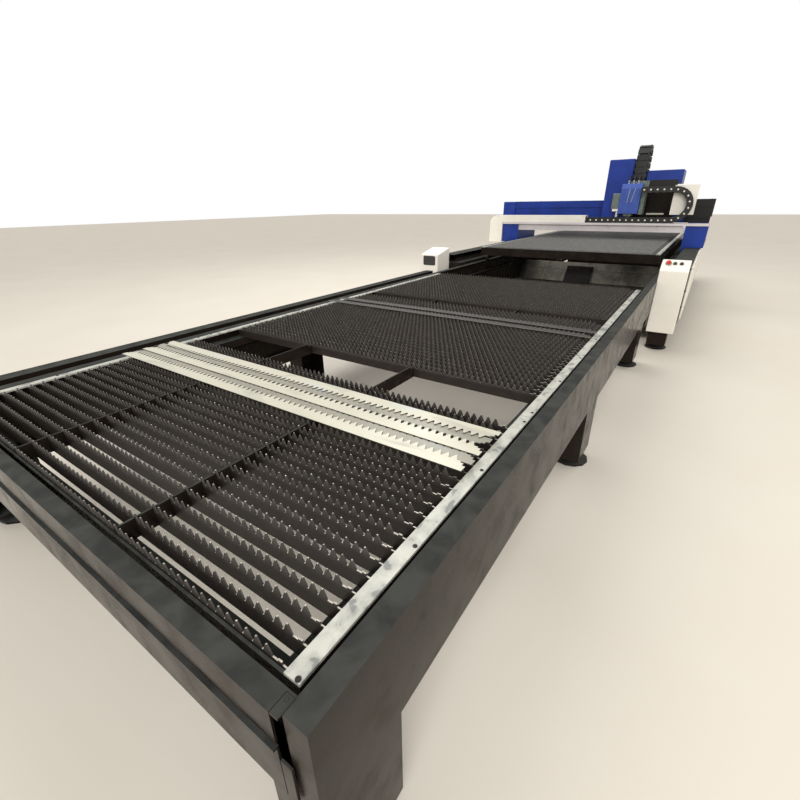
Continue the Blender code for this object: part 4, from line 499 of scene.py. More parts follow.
def block(shape, low, high, chamfer=0.0):
    """Adds a box with its four edges along Z broken by the chamfer."""
    c = chamfer
    if c == 0:
        outline = [(low[0], low[1]), (high[0], low[1]), (high[0], high[1]), (low[0], high[1])]
    else:
        outline = [(low[0] + c, low[1]), (high[0] - c, low[1]), (high[0], low[1] + c),
                   (high[0], high[1] - c), (high[0] - c, high[1]), (low[0] + c, high[1]),
                   (low[0], high[1] - c), (low[0], low[1] + c)]
    prism(shape, outline, low[2], high[2], "Z")


def ring(shape, middle, turn, radius, segments, height=0.0):
    """Adds a ring of points about the middle, or one point where the radius is zero."""
    around = 1 if radius == 0 else segments
    angles = [math.tau * k / segments for k in range(around)]
    return [shape.verts.new(Vector(middle) + turn @ Vector((radius * math.cos(angle),
                                                            radius * math.sin(angle), height)))
            for angle in angles]


def skin(shape, rings, material=0, closed=False):
    """Adds the faces between rings that follow each other, and the two ends where it is closed."""
    for first, second in zip(rings, rings[1:]):
        for k in range(max(len(first), len(second))):
            corners = [first[k % len(first)], first[(k + 1) % len(first)],
                       second[(k + 1) % len(second)], second[k % len(second)]]
            corners = list(dict.fromkeys(corners))
            if len(corners) > 2:
                shape.faces.new(corners).material_index = material
    for end in (rings[0][::-1], rings[-1]) if closed else ():
        shape.faces.new(end).material_index = material


def lathe(shape, profile, foot, toward, segments=24, material=0):
    """Adds a turned solid: radius and height pairs, turned about the line out of its foot."""
    turn = Vector(toward).to_track_quat("Z", "Y").to_matrix()
    skin(shape, [ring(shape, foot, turn, radius, segments, height) for radius, height in profile],
         material)


def screw(shape, foot, toward, radius, proud=0.55):
    """Adds a socket screw's head: broken edge, and a socket in the middle."""
    height = radius * proud
    lathe(shape, [(0, height * 0.35), (radius * 0.42, height * 0.35), (radius * 0.42, height),
                  (radius * 0.82, height), (radius, height * 0.7), (radius, 0), (0, 0)], foot, toward, 16)


def nut(shape, foot, toward, radius, height):
    """Adds a hexagon nut with broken corners."""
    lathe(shape, [(0, height), (radius * 0.82, height), (radius, height * 0.85), (radius, 0), (0, 0)],
          foot, toward, 6)


def tube(shape, points, radius, segments=12):
    """Adds a round bar that follows the points."""
    rings = []
    for index, point in enumerate(points):
        before = points[max(index - 1, 0)]
        after = points[min(index + 1, len(points) - 1)]
        along = (Vector(after) - Vector(before)).normalized()
        turn = along.to_track_quat("Z", "Y").to_matrix()
        rings.append(ring(shape, point, turn, radius, segments))
    skin(shape, rings, closed=True)


def weld_bead(shape, start, end, radius):
    """Adds a weld bead from start to end, with a ripple every 5 mm."""
    run = Vector(end) - Vector(start)
    count = max(3, int(run.length / (5 * MM)))
    turn = run.to_track_quat("Z", "Y").to_matrix()
    rings = []
    for index in range(count + 1):
        swell = radius * (1.0 if index % 2 else 0.8)
        swell *= 0.4 if index in (0, count) else 1.0
        rings.append(ring(shape, Vector(start) + run * (index / count), turn, swell, 8))
    skin(shape, rings, closed=True)


def piece(name, shape, body, slot, *materials, smooth_deg=35, edge=0.0):
    """Turns a shape into a piece that rides on a body, finished with the materials given; the slot is not
    used.
    """
    bmesh.ops.recalc_face_normals(shape, faces=shape.faces)
    mesh = bpy.data.meshes.new(name)
    shape.to_mesh(mesh)
    shape.free()
    for material in materials:
        mesh.materials.append(material)
    mesh.shade_smooth()
    mesh.set_sharp_from_angle(angle=math.radians(smooth_deg))
    made = bpy.data.objects.new(name, mesh)
    bpy.context.scene.collection.objects.link(made)
    if edge:
        round_edges(made, edge)
    if body:
        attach(made, body)
    return made


def round_edges(made, width):
    """Rounds the sharp edges a little, so that they catch the light as a real edge does."""
    bevel = made.modifiers.new("rounded_edges", "BEVEL")
    bevel.width = width
    bevel.segments = 2
    bevel.limit_method = "ANGLE"
    bevel.angle_limit = math.radians(40)
    bevel.use_clamp_overlap = True
    bevel.harden_normals = False


def carrier(node_name):
    """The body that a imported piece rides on."""
    bodies = frame["record"]["behaviour"]["bodies"]
    return next(body for body, names in bodies.items() if node_name in names)


def spread(start, end, count):
    """Evenly spread places from start to end."""
    return [start + (end - start) * index / (count - 1) for index in range(count)]


# Slats and their beds

def top_edge(half, height, shelves):
    """Top edge of a slat from left to right: place, height, and whether a flat follows, which takes the
    bright cut-edge steel as a painted highlight.
    """
    valley = height - TOOTH_HEIGHT
    steps = []
    outer = half
    for width, level in shelves:
        steps.append((outer, outer - width, level))
        outer -= width
    left = []
    for far, near, level in steps:
        left += [(-far, level, True), (-near, level, False)]
    teeth = int(2 * outer / TOOTH_PITCH)
    left.append((-outer, valley, True))
    reach = (TOOTH_PITCH - TOOTH_FLAT) / 2
    run = []
    for index in range(teeth):
        centre = (index + 0.5 - teeth / 2) * TOOTH_PITCH
        run += [(centre - reach, valley, False), (centre - TOOTH_FLAT / 2, height, True),
                (centre + TOOTH_FLAT / 2, height, False), (centre + reach, valley, True)]
    right = [(outer, valley, False)]
    for far, near, level in reversed(steps):
        right += [(near, level, True), (far, level, False)]
    return left + run + right


def slat(shape, half, height, thickness, place, shelves, wear=0.0, lean=0.0, sheared=False):
    """Adds one slat. place turns a point of its own (along, across, up) into the machine's."""
    edge = top_edge(half, height, shelves)
    worn = [(x, z - (CHANCE.random() * wear if z == height else 0), flat) for x, z, flat in edge]
    outline = [(-half, 0, False)] + worn + [(half, 0, False)]
    near, far = [[place(x, y + lean * z / height, z) for x, z, _ in outline]
                 for y in (-thickness / 2, thickness / 2)]
    edges = extrude(shape, near, far)[2:]
    for face, (_, _, flat) in zip(edges, outline):
        # On the bed slats only the level flats (tips, valleys, shelves) take the bright cut-edge steel, a
        # painted highlight where the edge faces up, partly tips rubbed by sheets; sheared slats take it all
        # round.
        face.material_index = 1 if flat or sheared else 0


def support(shape, x, low, high, slats_at, height):
    """Adds a support bar with a notch for every slat."""
    top = low.z + height
    outline = [(low.y, low.z), (low.y, top)]
    for y in slats_at:
        near, far = y - NOTCH_WIDTH / 2, y + NOTCH_WIDTH / 2
        outline += [(near, top), (near, top - NOTCH_DEPTH), (far, top - NOTCH_DEPTH), (far, top)]
    outline += [(high.y, top), (high.y, low.z)]
    prism(shape, outline, x - SUPPORT_THICKNESS / 2, x + SUPPORT_THICKNESS / 2, "X", 2)


def slat_bed(name, node_names, frame_name, groups, supports, body, finish):
    """The whole bed of one pallet: its slats, a little worn and leaning, in notched supports."""
    shape = bmesh.new()
    boxes = [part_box(node_name) for node_name in node_names]
    low = Vector(min(box[0][axis] for box in boxes) for axis in range(3))
    high = Vector(max(box[1][axis] for box in boxes) for axis in range(3))
    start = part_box(frame_name)[0].y
    places = [start + first + index * SLAT_PITCH for first, count in groups for index in range(count)]
    for y in places:
        def place(along, across, up, y=y):
            return CENTRE + along, y + across, low.z + up

        lean = CHANCE.uniform(-SLAT_LEAN, SLAT_LEAN)
        slat(shape, (high.x - low.x) / 2, high.z - low.z, SLAT_THICKNESS, place, BED_SHELVES,
             SLAT_WEAR, lean)
    step = start + STEP_DOWN
    first = [y for y in places if y < step]
    for x in supports:
        if len(groups) > 1:
            support(shape, CENTRE + x, low, Vector((0, step, 0)), first, SUPPORT_HEIGHT)
            support(shape, CENTRE + x, Vector((0, step, low.z)), high, places[len(first):], LOW_SUPPORT)
        else:
            support(shape, CENTRE + x, low, high, places, LOW_SUPPORT)
    made = piece(name, shape, body, "mill_steel", finish, EDGE, BLACK)
    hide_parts(*node_names)


def lying_slat(name, low, high, flipped, *materials):
    """A slat that lies flat in the box from low to high, its teeth up or down the machine."""
    middle_x = (low.x + high.x) / 2
    shape = bmesh.new()

    def place(along, across, up):
        return (middle_x + along, high.y - up if flipped else low.y + up, (low.z + high.z) / 2 + across)

    slat(shape, (high.x - low.x) / 2, high.y - low.y, high.z - low.z, place, LOOSE_SHELVES, sheared=True)
    return piece(name, shape, "lower_pallet", "new_galvanised", *materials)


def loose_slats():
    """The new slats that lie in a heap across the lower pallet."""
    for index, flipped in enumerate(LOOSE_FLIPPED, 1):
        low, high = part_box(f"loose_slat_{index}")
        # Slats 2 and 4 lie in the lower layer and take the darker copy of the zinc, as painted shade.
        finish = ZINC_NEW if index % 2 else ZINC_SHADED
        made = lying_slat(f"new_slat_{index}", low, high, flipped, finish, ZINC_EDGE)
        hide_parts(f"loose_slat_{index}")


def spare_slats():
    """Two worn slats that lie on the teeth further along the lower pallet."""
    first_low, first_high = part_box("loose_slat_1")
    reach = (first_high.x - first_low.x) / 2
    tall = first_high.y - first_low.y
    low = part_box("loose_slat_2")[0].z
    for index, (start, shift, flipped) in enumerate(SPARE_SLATS, 1):
        made = lying_slat(f"worn_slat_{index}", at(shift - reach, start, low),
                          at(shift + reach, start + tall, low + LOOSE_THICKNESS), flipped, OLD_SLAT, EDGE)


# Cable chains

def link(shape, start, end, normal, across, near, width, height, lid):
    """Adds one chain link between two pins: its rounded side plates, two lids and the pin heads."""
    along = (end - start).normalized()
    length = (end - start).length
    wall = width * 0.09
    radius = height / 2
    steps = 6

    def place(u, v, w):
        return start + along * u + normal * v + across * (near + w)

    def between(outline, w_near, w_far):
        extrude(shape, [place(u, v, w_near) for u, v in outline], [place(u, v, w_far) for u, v in outline])

    def plate(first, last, w_near, w_far, shrink):
        outline = []
        for centre, turned in ((last, -0.5), (first, 0.5)):
            for k in range(steps + 1):
                angle = math.pi * (k / steps + turned)
                outline.append((centre + shrink * radius * 0.55 * math.cos(angle),
                                shrink * radius * math.sin(angle)))
        between(outline, w_near, w_far)

    for w_near, w_far in ((0, wall), (width - wall, width)):
        plate(length * 0.24, length * 0.76, w_near, w_far, 1.0)
    for w_near, w_far in ((wall, 2 * wall), (width - 2 * wall, width - wall)):
        plate(-length * 0.20, length * 0.20, w_near, w_far, 0.86)
    first, last = length * (1 - lid) / 2, length * (1 + lid) / 2
    for v in (-radius * 0.98, radius * 0.98 - wall / 2):
        between([(first, v), (last, v), (last, v + wall / 2), (first, v + wall / 2)], wall, width - wall)
    for w, toward in ((0, -across), (width, across)):
        lathe(shape, [(0, 1.2 * MM), (PIN_RADIUS * 0.8, 1.2 * MM), (PIN_RADIUS, 0), (0, 0)],
              place(length / 2, 0, w) - toward * 0.2 * MM, toward, 12, 1)


def u_run(lower, upper, bend):
    """Places of the pins along a U: a lower leg, a half turn and an upper leg, from the pitch."""
    total = lower + math.pi * bend + upper
    count = round(total / LINK_PITCH)
    for index in range(count + 1):
        run = total * index / count
        if run < lower:
            yield run - lower, 0.0
        elif run < lower + math.pi * bend:
            angle = (run - lower) / bend
            yield bend * math.sin(angle), bend - bend * math.cos(angle)
        else:
            yield lower + math.pi * bend - run, 2 * bend


def tray_chain():
    """Cable chain on the tray, in three pieces: its lower run, its bend and its upper run, which ends at
    the carriage saddle.
    """
    low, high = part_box("tray_chain")
    bend = (high.z - low.z - LINK_HEIGHT) / 2
    bend_at = high.x - bend - LINK_HEIGHT / 2
    moving_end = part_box("carriage_saddle")[0].x + MOVING_END_IN
    centre = low.z + LINK_HEIGHT / 2
    run = u_run(bend_at - low.x, bend_at - moving_end, bend)
    pins = [Vector((bend_at + u, 0, centre + v)) for u, v in run]
    shapes = {"lower": bmesh.new(), "bend": bmesh.new(), "upper": bmesh.new()}
    across = Vector((0, 1, 0))
    for start, end in zip(pins, pins[1:]):
        along = (end - start).normalized()
        part = "bend" if (start + end).x / 2 > bend_at else ("lower" if along.x > 0 else "upper")
        link(shapes[part], start, end, across.cross(along), across, low.y, high.y - low.y, LINK_HEIGHT, 0.8)
    far = 100.0
    ends = {"lower": ((low.x, 0, centre), (2 * bend_at - low.x, 0, centre)),
            "bend": ((bend_at, -far, centre), (bend_at, far, centre)),
            "upper": ((2 * bend_at - moving_end, 0, centre), (moving_end, 0, centre))}
    for part, shape in shapes.items():
        made = piece(f"tray_chain_{part}", shape, None, "black_nylon", NYLON, CREAM)
        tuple(ends[part][0])
        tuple(ends[part][1])
        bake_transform(made)
        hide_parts("tray_chain")


def head_chain():
    """Cable chain that rises behind the head, turns over and comes down on the carriage."""
    low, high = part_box("head_chain")
    bend = (high.y - low.y - RISER_LINK_HEIGHT) / 2
    turn_at = high.z - bend - RISER_LINK_HEIGHT / 2 - 2 * MM
    front = low.y + RISER_LINK_HEIGHT / 2
    back_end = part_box("carriage_saddle")[1].z
    across = Vector((1, 0, 0))
    run = u_run(turn_at - low.z, turn_at - back_end, bend)
    pins = [Vector((0, front + v, turn_at + u)) for u, v in run]
    shape = bmesh.new()
    for start, end in zip(pins, pins[1:]):
        along = (end - start).normalized()
        link(shape, start, end, across.cross(along), across, low.x, high.x - low.x, RISER_LINK_HEIGHT, 0.94)
    made = piece("riser_chain", shape, "carriage", "black_nylon", NYLON, NYLON)
    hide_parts("head_chain")


# Fasteners, fittings and trim

def strip_screws():
    """Socket screws that hold the side strips down, and the dark joints between strip lengths."""
    for level, body in (("lower", "lower_pallet"), ("upper", "upper_pallet")):
        shape = bmesh.new()
        for side, reach in (("right", -1), ("left", 1)):
            low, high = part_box(f"{level}_strip_{side}")
            outer = (high.x if side == "right" else low.x) + reach * 7.5 * MM
            for along in STRIP_SCREWS:
                screw(shape, (outer, low.y + along, high.z), (0, 0, 1), 5.0 * MM, proud=0.3)
            for along in STRIP_JOINTS:
                block(shape, (low.x, low.y + along - 0.5 * MM, high.z - MM),
                      (high.x, low.y + along + 0.5 * MM, high.z + 0.2 * MM))
        piece(f"{level}_strip_screws", shape, body, "ground_steel", DARK_SCREW)


def near_corner():
    """Closing plates and weld beads where the near member meets the two side rails."""
    shape = bmesh.new()
    low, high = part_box("table_near_member")
    plate_near, plate_top = low.y + 6.5 * MM, high.z - 118 * MM
    for side in (-1, 1):
        rail = (high.x if side > 0 else low.x) - side * 0.5 * MM
        inner = rail - side * 16.5 * MM
        left, right = sorted((rail, inner))
        block(shape, (left, plate_near, high.z - 4 * MM), (right, high.y - 4.5 * MM, high.z))
        left, right = sorted((rail + side * 7 * MM, inner))
        block(shape, (left, plate_near, low.z), (right, low.y + 10.5 * MM, plate_top))
        bead = rail + side * 4 * MM
        weld_bead(shape, (bead, low.y + 10 * MM, low.z + 2 * MM), (bead, low.y + 10 * MM, plate_top),
                  3 * MM)
        lathe(shape, mm((0, 0.3), (2.2, 0.3), (3.2, 0.5), (3.8, 0)),
              (rail - side * 9 * MM, high.y - 12 * MM, high.z), (0, 0, 1), 16)
        seam = high.z - 0.5 * MM
        weld_bead(shape, (rail, low.y + 8 * MM, seam), (rail, high.y, seam), 2.2 * MM)
        bead, back = rail - side * 2 * MM, high.y - MM
        weld_bead(shape, (bead, back, low.z + 5 * MM), (bead, back, low.z + 60 * MM), 2.5 * MM)
    piece("near_corner_plates", shape, "machine", "satin_black", BLACK)


def wheels():
    """Cast tyres with their rounded edges, each on a turned steel hub."""
    for name in frame["nodes"]:
        if "_wheel_" not in name:
            continue
        low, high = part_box(name)
        centre = (low + high) / 2
        radius = (high.z - low.z) / 2
        width = high.x - low.x
        side = 1 if "right" in name else -1
        bore, hub, lip = 8.6 * MM, radius * 0.6, radius * 0.64
        profile = [(bore, 0), (hub, 0), (lip, MM), (radius - 2 * MM, MM), (radius, 3 * MM),
                   (radius, width - 3 * MM), (radius - 2 * MM, width - MM), (lip, width - MM),
                   (hub, width), (bore, width), (bore, 0)]
        shape = bmesh.new()
        lathe(shape, profile, centre - Vector((side * width / 2, 0, 0)), (side, 0, 0), 40)
        for face in shape.faces:
            reach = face.calc_center_median() - centre
            if math.hypot(reach.y, reach.z) < radius * 0.61:
                face.material_index = 1
        made = piece(f"{name}_tyre", shape, carrier(name), "polyurethane", TYRE, STEEL)
        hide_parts(name)


def axle_screws():
    """Round heads of the axle pins, on the wheels' outer ends."""
    for level in ("lower", "upper"):
        shape = bmesh.new()
        for name in frame["nodes"]:
            if "_wheel_" in name and name.startswith(level):
                low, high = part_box(name)
                side = 1 if "right" in name else -1
                end = (low + high) / 2
                end.x = (high.x if side > 0 else low.x) - side * 3 * MM
                lathe(shape, mm((0, 4), (6.5, 4), (7.5, 3), (7.5, 0), (0, 0)), end, (side, 0, 0), 24)
        piece(f"{level}_axle_ends", shape, f"{level}_pallet", "ground_steel", SCREW)


def panel_place(across):
    """A place on the control column's sloping panel, and the direction out of it."""
    low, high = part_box("control_column")
    slope = math.atan2(PANEL_RISE, PANEL_RUN)
    place = Vector((across, low.y + BUTTONS_UP_SLOPE * math.cos(slope),
                    high.z - PANEL_RISE + BUTTONS_UP_SLOPE * math.sin(slope)))
    return place, Vector((0, -math.sin(slope), math.cos(slope)))


def push_buttons():
    """The mushroom stop and the two push buttons, each turned, and a black ring round each."""
    rings = bmesh.new()
    for name, finish, slot_name, radius, height in (
            ("emergency_stop", RED, "red_plastic", 19 * MM, 20 * MM),
            ("start_button", GREEN, "green_plastic", 12 * MM, 7 * MM),
            ("pause_button", DARK_RED, "red_plastic", 12 * MM, 7 * MM)):
        low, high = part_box(name)
        place, out = panel_place((low.x + high.x) / 2)
        stem = mm((0, -20), (7.2, -20), (7.2, 5))
        foot = 5 * MM
        if name == "emergency_stop":
            head = [(11 * MM, 6 * MM), (radius, 11 * MM), (radius, 15 * MM), (radius * 0.93, 18 * MM),
                    (radius * 0.7, 20.5 * MM), (0, 21.5 * MM)]
        else:
            head = [(radius, foot), (radius, foot + height * 0.7), (radius * 0.94, foot + height * 0.9),
                    (radius * 0.8, foot + height), (0, foot + height * 0.9)]
        shape = bmesh.new()
        lathe(shape, stem + head, place, out, 40)
        made = piece(f"{name}_cap", shape, carrier(name), slot_name, finish)
        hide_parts(name)
        section = mm((0.8, 0.1), (3.5, 0.1), (3.5, 2.4), (2.5, 3.4), (0.8, 3.4), (0.8, 0.1))
        lathe(rings, [(radius + more, level) for more, level in section], place, out, 40)
    piece("button_bezels", rings, "machine", "black_nylon", NYLON)


def column_trim():
    """Three black knobs on the control column's right side."""
    shape = bmesh.new()
    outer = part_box("control_column")[1].x - 0.2 * MM
    for height in KNOB_HEIGHTS:
        lathe(shape, mm((0, 12), (7, 12), (9, 10), (9, 4), (5, 3), (5, 0), (0, 0)),
              (outer, START + KNOBS_ALONG, height), (1, 0, 0), 20)
    piece("door_knobs", shape, "machine", "black_nylon", NYLON)


def screen_pane():
    """Dark acrylic pane in the left column's shallow recess."""
    low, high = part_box("screen_column")
    middle = ((low.x + high.x) / 2, high.z - PANE_DOWN - PANE_TALL / 2)
    reach = (PANE_HALF - PANE_CORNER, PANE_TALL / 2 - PANE_CORNER)
    outline = []
    for quarter, toward in enumerate(((1, 1), (-1, 1), (-1, -1), (1, -1))):
        for step in range(7):
            angle = math.pi / 2 * (quarter + step / 6)
            outline.append((middle[0] + toward[0] * reach[0] + PANE_CORNER * math.cos(angle),
                            middle[1] + toward[1] * reach[1] + PANE_CORNER * math.sin(angle)))
    shape = bmesh.new()
    prism(shape, outline, low.y + 0.8 * MM, low.y + 3.8 * MM)
    piece("screen_pane", shape, "machine", "black_nylon", WINDOW, edge=0.4 * MM)


def sensor_base():
    """White foot plate and stem under the grey sensor box."""
    low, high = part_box("sensor_box")
    shape = bmesh.new()
    block(shape, (low.x + 18 * MM, low.y - 12 * MM, low.z - 24 * MM),
          (high.x - 2 * MM, high.y - 20 * MM, low.z - 0.3 * MM), 3 * MM)
    lathe(shape, mm((0, 0), (11, 0), (12, 3), (12, 60), (10, 62), (0, 62)),
          (high.x - 14 * MM, low.y + 12 * MM, low.z - 86 * MM), (0, 0, 1), 24)
    piece("sensor_base", shape, carrier("sensor_box"), "white_powder", WHITE, edge=0.8 * MM)


def head_fittings():
    """The head cover's two bright slits, and its three hoses with their connectors."""
    low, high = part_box("head_cover")
    metal = bmesh.new()
    hoses = bmesh.new()
    slit, top, foot = 7 * MM, high.z - 84 * MM, high.z - 234 * MM
    for top_in, foot_in in mm((90, 78), (146, 120)):
        outline = [(low.x + top_in, top), (low.x + top_in + slit, top),
                   (low.x + foot_in + slit, foot), (low.x + foot_in, foot)]
        prism(metal, outline, low.y - 0.6 * MM, low.y + MM)
    for index in (-1, 0, 1):
        place = Vector(((low.x + high.x) / 2 + index * 50 * MM, (low.y + 26 * MM + high.y) / 2,
                        high.z - 34 * MM))
        for profile in (mm((11.3, 0), (14.5, 0), (14.5, 9), (13, 11), (11.3, 11), (11.3, 0)),
                        mm((11.3, 20), (13, 20), (13, 30), (11.3, 32), (11.3, 20))):
            lathe(metal, profile, place, (0, 0, 1), 24)
        start = place + Vector((0, 0, 33 * MM))
        turns = [math.pi * k / 10 for k in range(11)]
        tube(hoses, [start + Vector((index * 4 * MM * turn / math.pi, 50 * MM * (1 - math.cos(turn)),
                                     48 * MM * math.sin(turn))) for turn in turns], 7.5 * MM, 14)
    body = carrier("head_cover")
    piece("head_cover_fittings", metal, body, "ground_steel", STEEL)
    piece("head_hoses", hoses, body, "black_nylon", NYLON, smooth_deg=60)


def nozzle_tip():
    """Bored copper tip at the lower end of the cutting head."""
    shape = bmesh.new()
    lathe(shape, mm((1.2, 0.2), (5, 0.2), (14, 16), (14, 20), (1.2, 20), (1.2, 0.2)),
          at(NOZZLE_ACROSS, NOZZLE_ALONG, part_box("cutting_head")[0].z), (0, 0, 1), 32)
    piece("nozzle_tip", shape, carrier("head_cover"), "ground_steel", COPPER)


def carriage_trim():
    """Light bar on the carriage plate, and on its covers the seam, the screws and a black panel painted as
    the shade in the motor box's recess.
    """
    bar = bmesh.new()
    block(bar, at(*LIGHT_BAR[0]), at(*LIGHT_BAR[1]), 2 * MM)
    piece("carriage_bar", bar, "carriage", "new_galvanised", ZINC_NEW, edge=0.8 * MM)
    shape = bmesh.new()
    low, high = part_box("tall_cover")
    seam = high.z - 64 * MM
    block(shape, (low.x + 3 * MM, low.y - 0.2 * MM, seam - MM), (high.x - 3 * MM, low.y + MM, seam + MM))
    levels = (low.z + 60 * MM, (low.z + seam) / 2, seam - 20 * MM, high.z - 22 * MM)
    places = [(x, low.y, z) for x in (low.x + 16 * MM, high.x - 16 * MM) for z in levels]
    low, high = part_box("motor_box")
    levels = (low.z + 52 * MM, high.z - 18 * MM)
    places += [(x, low.y, z) for x in (low.x + 18 * MM, high.x - 18 * MM) for z in levels]
    for place in places:
        screw(shape, place, (0, -1, 0), 4 * MM, proud=0.4)
    # Black panel on the motor box's front: painted shade, standing for the dark recess there.
    block(shape, (low.x + 8 * MM, low.y - 0.6 * MM, low.z + 2 * MM),
          (high.x - 34 * MM, low.y + MM, low.z + 74 * MM))
    piece("cover_seam_and_screws", shape, "carriage", "black_nylon", DARK_SCREW)


def gantry_trim():
    """Screws along the hood, the end blocks and the top of the beam."""
    shape = bmesh.new()
    low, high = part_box("gantry_hood")
    for x in spread(low.x + 120 * MM, high.x - 25 * MM, 6):
        screw(shape, (x, low.y, high.z - 9 * MM), (0, -1, 0), 3.5 * MM, proud=0.4)
    for side in ("left", "right"):
        low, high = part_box(f"gantry_end_{side}")
        outer, reach = (high.x, 1) if side == "right" else (low.x, -1)
        for y in spread(low.y + 50 * MM, high.y - 50 * MM, 4):
            for z in (high.z - 30 * MM, high.z - 200 * MM):
                screw(shape, (outer, y, z), (reach, 0, 0), 7 * MM, proud=0.5)
    low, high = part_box("gantry_beam")
    for x in spread(low.x + 40 * MM, high.x - 40 * MM, 9):
        screw(shape, (x, low.y + 120 * MM, high.z), (0, 0, 1), 6 * MM, proud=0.5)
    piece("gantry_screws", shape, "gantry", "ground_steel", SCREW)


def beam_end_cover():
    """Folded blue cover over the beam's left end, as far out as the white hood."""
    low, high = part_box("gantry_beam")
    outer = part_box("gantry_hood")[0].x + 10 * MM
    shape = bmesh.new()
    c = 8 * MM
    prism(shape, [(low.y, low.z + c), (low.y + c, low.z), (high.y - c, low.z), (high.y, low.z + c),
                  (high.y, high.z - c), (high.y - c, high.z), (low.y + c, high.z), (low.y, high.z - c)],
          outer, low.x - 0.3 * MM, "X")
    piece("beam_end_cover", shape, "gantry", "blue_powder", BEAM, edge=2 * MM)


def far_skirt():
    """Folded black plates that close the bed's far end, and its left side above the drawer."""
    low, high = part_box("bed_far_plate")
    foot, fold, top = 60 * MM, 63 * MM, low.z + MM
    near, wall, lip = low.y + 6 * MM, low.y + 9 * MM, low.y + 26 * MM
    shape = bmesh.new()
    prism(shape, [(near, foot), (lip, foot), (lip, fold), (wall, fold), (wall, top), (near, top)],
          low.x + MM, high.x - MM, "X")
    drawer_low, drawer_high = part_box("chip_drawer_far")
    block(shape, (low.x + MM, drawer_low.y + 50 * MM, drawer_high.z + 2 * MM),
          (low.x + 4 * MM, low.y, 250 * MM))
    piece("far_skirt", shape, "machine", "satin_black", BLACK)


def rail_screws():
    """Socket screws sunk in the two linear rails, every 60 mm or so."""
    shape = bmesh.new()
    for side in (-1, 1):
        low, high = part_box("guide_rail_right" if side > 0 else "guide_rail_left")
        for y in spread(low.y + 30 * MM, high.y - 30 * MM, RAIL_SCREWS_COUNT):
            lathe(shape, mm((0, 0.1), (2.5, 0.1), (2.5, 0.3), (6, 0.3), (6.4, 0), (0, -0.2)),
                  (CENTRE + side * RAIL_SCREWS_ACROSS, y, high.z), (0, 0, 1), 10)
    piece("linear_rail_screws", shape, "machine", "ground_steel", DARK_SCREW)


def side_cover_screws():
    """Button-head screws along the top and bottom of the long side covers."""
    shape = bmesh.new()
    for side in ("left", "right"):
        low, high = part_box(f"side_cover_{side}")
        outer, reach = (high.x, 1) if side == "right" else (low.x, -1)
        for y in spread(low.y + 60 * MM, high.y - 60 * MM, 12):
            for z in (low.z + 25 * MM, high.z - 25 * MM):
                screw(shape, (outer, y, z), (reach, 0, 0), 6 * MM, proud=0.45)
    piece("side_cover_screws", shape, "machine", "ground_steel", SCREW)


def divider_seams():
    """Folded seams of the chip divider's sheets, dark with oil."""
    shape = bmesh.new()
    foot, ridge = at(*DIVIDER_FOOT), at(*DIVIDER_RIDGE)
    for across in DIVIDER_SEAMS:
        tube(shape, [foot + Vector((across, 0, 0)), ridge + Vector((across, 0, 0))], 1.5 * MM, 8)
    level = foot.lerp(ridge, LEVEL_SEAM_SHARE)
    ends = [level + Vector((side * LEVEL_SEAM_REACH, 0, 0)) for side in (-1, 1)]
    tube(shape, ends, 1.5 * MM, 8)
    piece("divider_seams", shape, "machine", "satin_black", BLACK)


def foot_nuts():
    """Hexagon nuts on the studs of the twelve levelling feet."""
    shape = bmesh.new()
    for mount in frame["record"]["mounts"]:
        x, y, _ = mount["pos_m"]
        nut(shape, (x, y, 24 * MM), (0, 0, 1), 17 * MM, 12 * MM)
    piece("foot_nuts", shape, "machine", "ground_steel", SCREW)


def dress_nodes():
    """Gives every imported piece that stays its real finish, and rounds its edges."""
    for name, made in frame["nodes"].items():
        for place in made.material_slots:
            slot_name = place.material.name.split(".")[0]
            place.material = FINISH_OF_NODE.get(name) or FINISH_OF.get(slot_name, BLACK)
        if "wheel" not in name:
            round_edges(made, 1.2 * MM)


# Studio

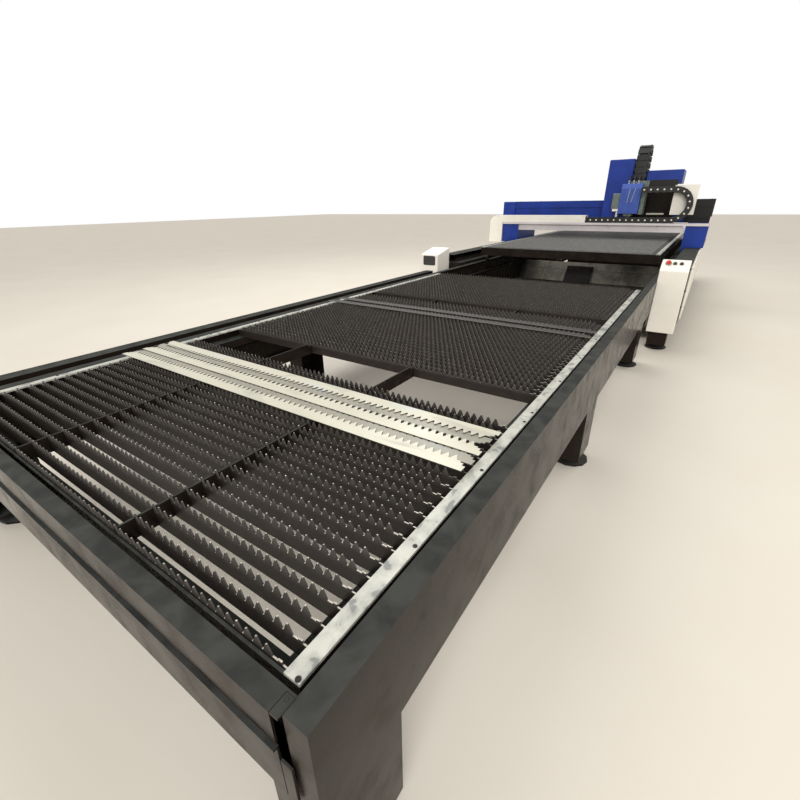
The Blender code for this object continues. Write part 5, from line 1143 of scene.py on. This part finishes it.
def studio():
    """Pale floor, white surroundings, and two soft lamps at a plain level."""
    mesh = bpy.data.meshes.new("floor")
    corners = [(x * FLOOR_HALF, y * FLOOR_HALF, 0) for x, y in ((-1, -1), (1, -1), (1, 1), (-1, 1))]
    mesh.from_pydata(corners, [], [(0, 1, 2, 3)])
    mesh.materials.append(painted_floor())
    floor = bpy.data.objects.new("floor", mesh)
    bpy.context.scene.collection.objects.link(floor)
    world = bpy.data.worlds.new("studio")
    bpy.context.scene.world = world
    world.use_nodes = True
    tree = world.node_tree
    seen = node(tree, "LightPath")
    direct = node(tree, "Math", {0: seen.outputs["Is Camera Ray"], 1: seen.outputs["Is Transmission Ray"]},
                  operation="ADD", use_clamp=True).outputs[0]
    light = node(tree, "Background", {"Color": "#f5f3ef", "Strength": 0.95}).outputs[0]
    wall = node(tree, "Background", {"Color": "#ffffff", "Strength": 1.0}).outputs[0]
    mix = node(tree, "MixShader", {0: direct, 1: light, 2: wall}).outputs[0]
    tree.links.new(mix, tree.nodes["World Output"].inputs["Surface"])
    for name, place, aim, size, watts in LAMPS:
        lamp = bpy.data.lights.new(name, "AREA")
        lamp.size = size
        lamp.energy = watts
        made = bpy.data.objects.new(name, lamp)
        made.location = place
        made.rotation_euler = (Vector(aim) - Vector(place)).to_track_quat("-Z", "Y").to_euler()
        bpy.context.scene.collection.objects.link(made)
    bpy.context.scene.view_settings.view_transform = "Standard"


def camera():
    """Camera over the near right corner, with a wide lens, as in the photograph."""
    made = bpy.data.objects.new("camera", bpy.data.cameras.new("camera"))
    made.data.lens = CAMERA_LENS_MM
    made.location = CAMERA_AT
    made.rotation_euler = [math.radians(turn) for turn in CAMERA_TURN]
    bpy.context.scene.collection.objects.link(made)
    bpy.context.scene.camera = made


camera()
studio()
dress_nodes()
slat_bed("lower_toothed_slats", ("lower_slat_bed", "lower_slat_bed_far"), "lower_pallet_frame",
         LOWER_SLATS, LOWER_SUPPORTS, "lower_pallet", SLAT)
slat_bed("upper_toothed_slats", ("upper_slat_bed",), "upper_pallet_frame", UPPER_SLATS, UPPER_SUPPORTS,
         "upper_pallet", CLEAN_SLAT)
loose_slats()
spare_slats()
tray_chain()
head_chain()
wheels()
axle_screws()
push_buttons()
column_trim()
screen_pane()
sensor_base()
head_fittings()
nozzle_tip()
carriage_trim()
gantry_trim()
beam_end_cover()
far_skirt()
near_corner()
strip_screws()
rail_screws()
side_cover_screws()
divider_seams()
foot_nuts()
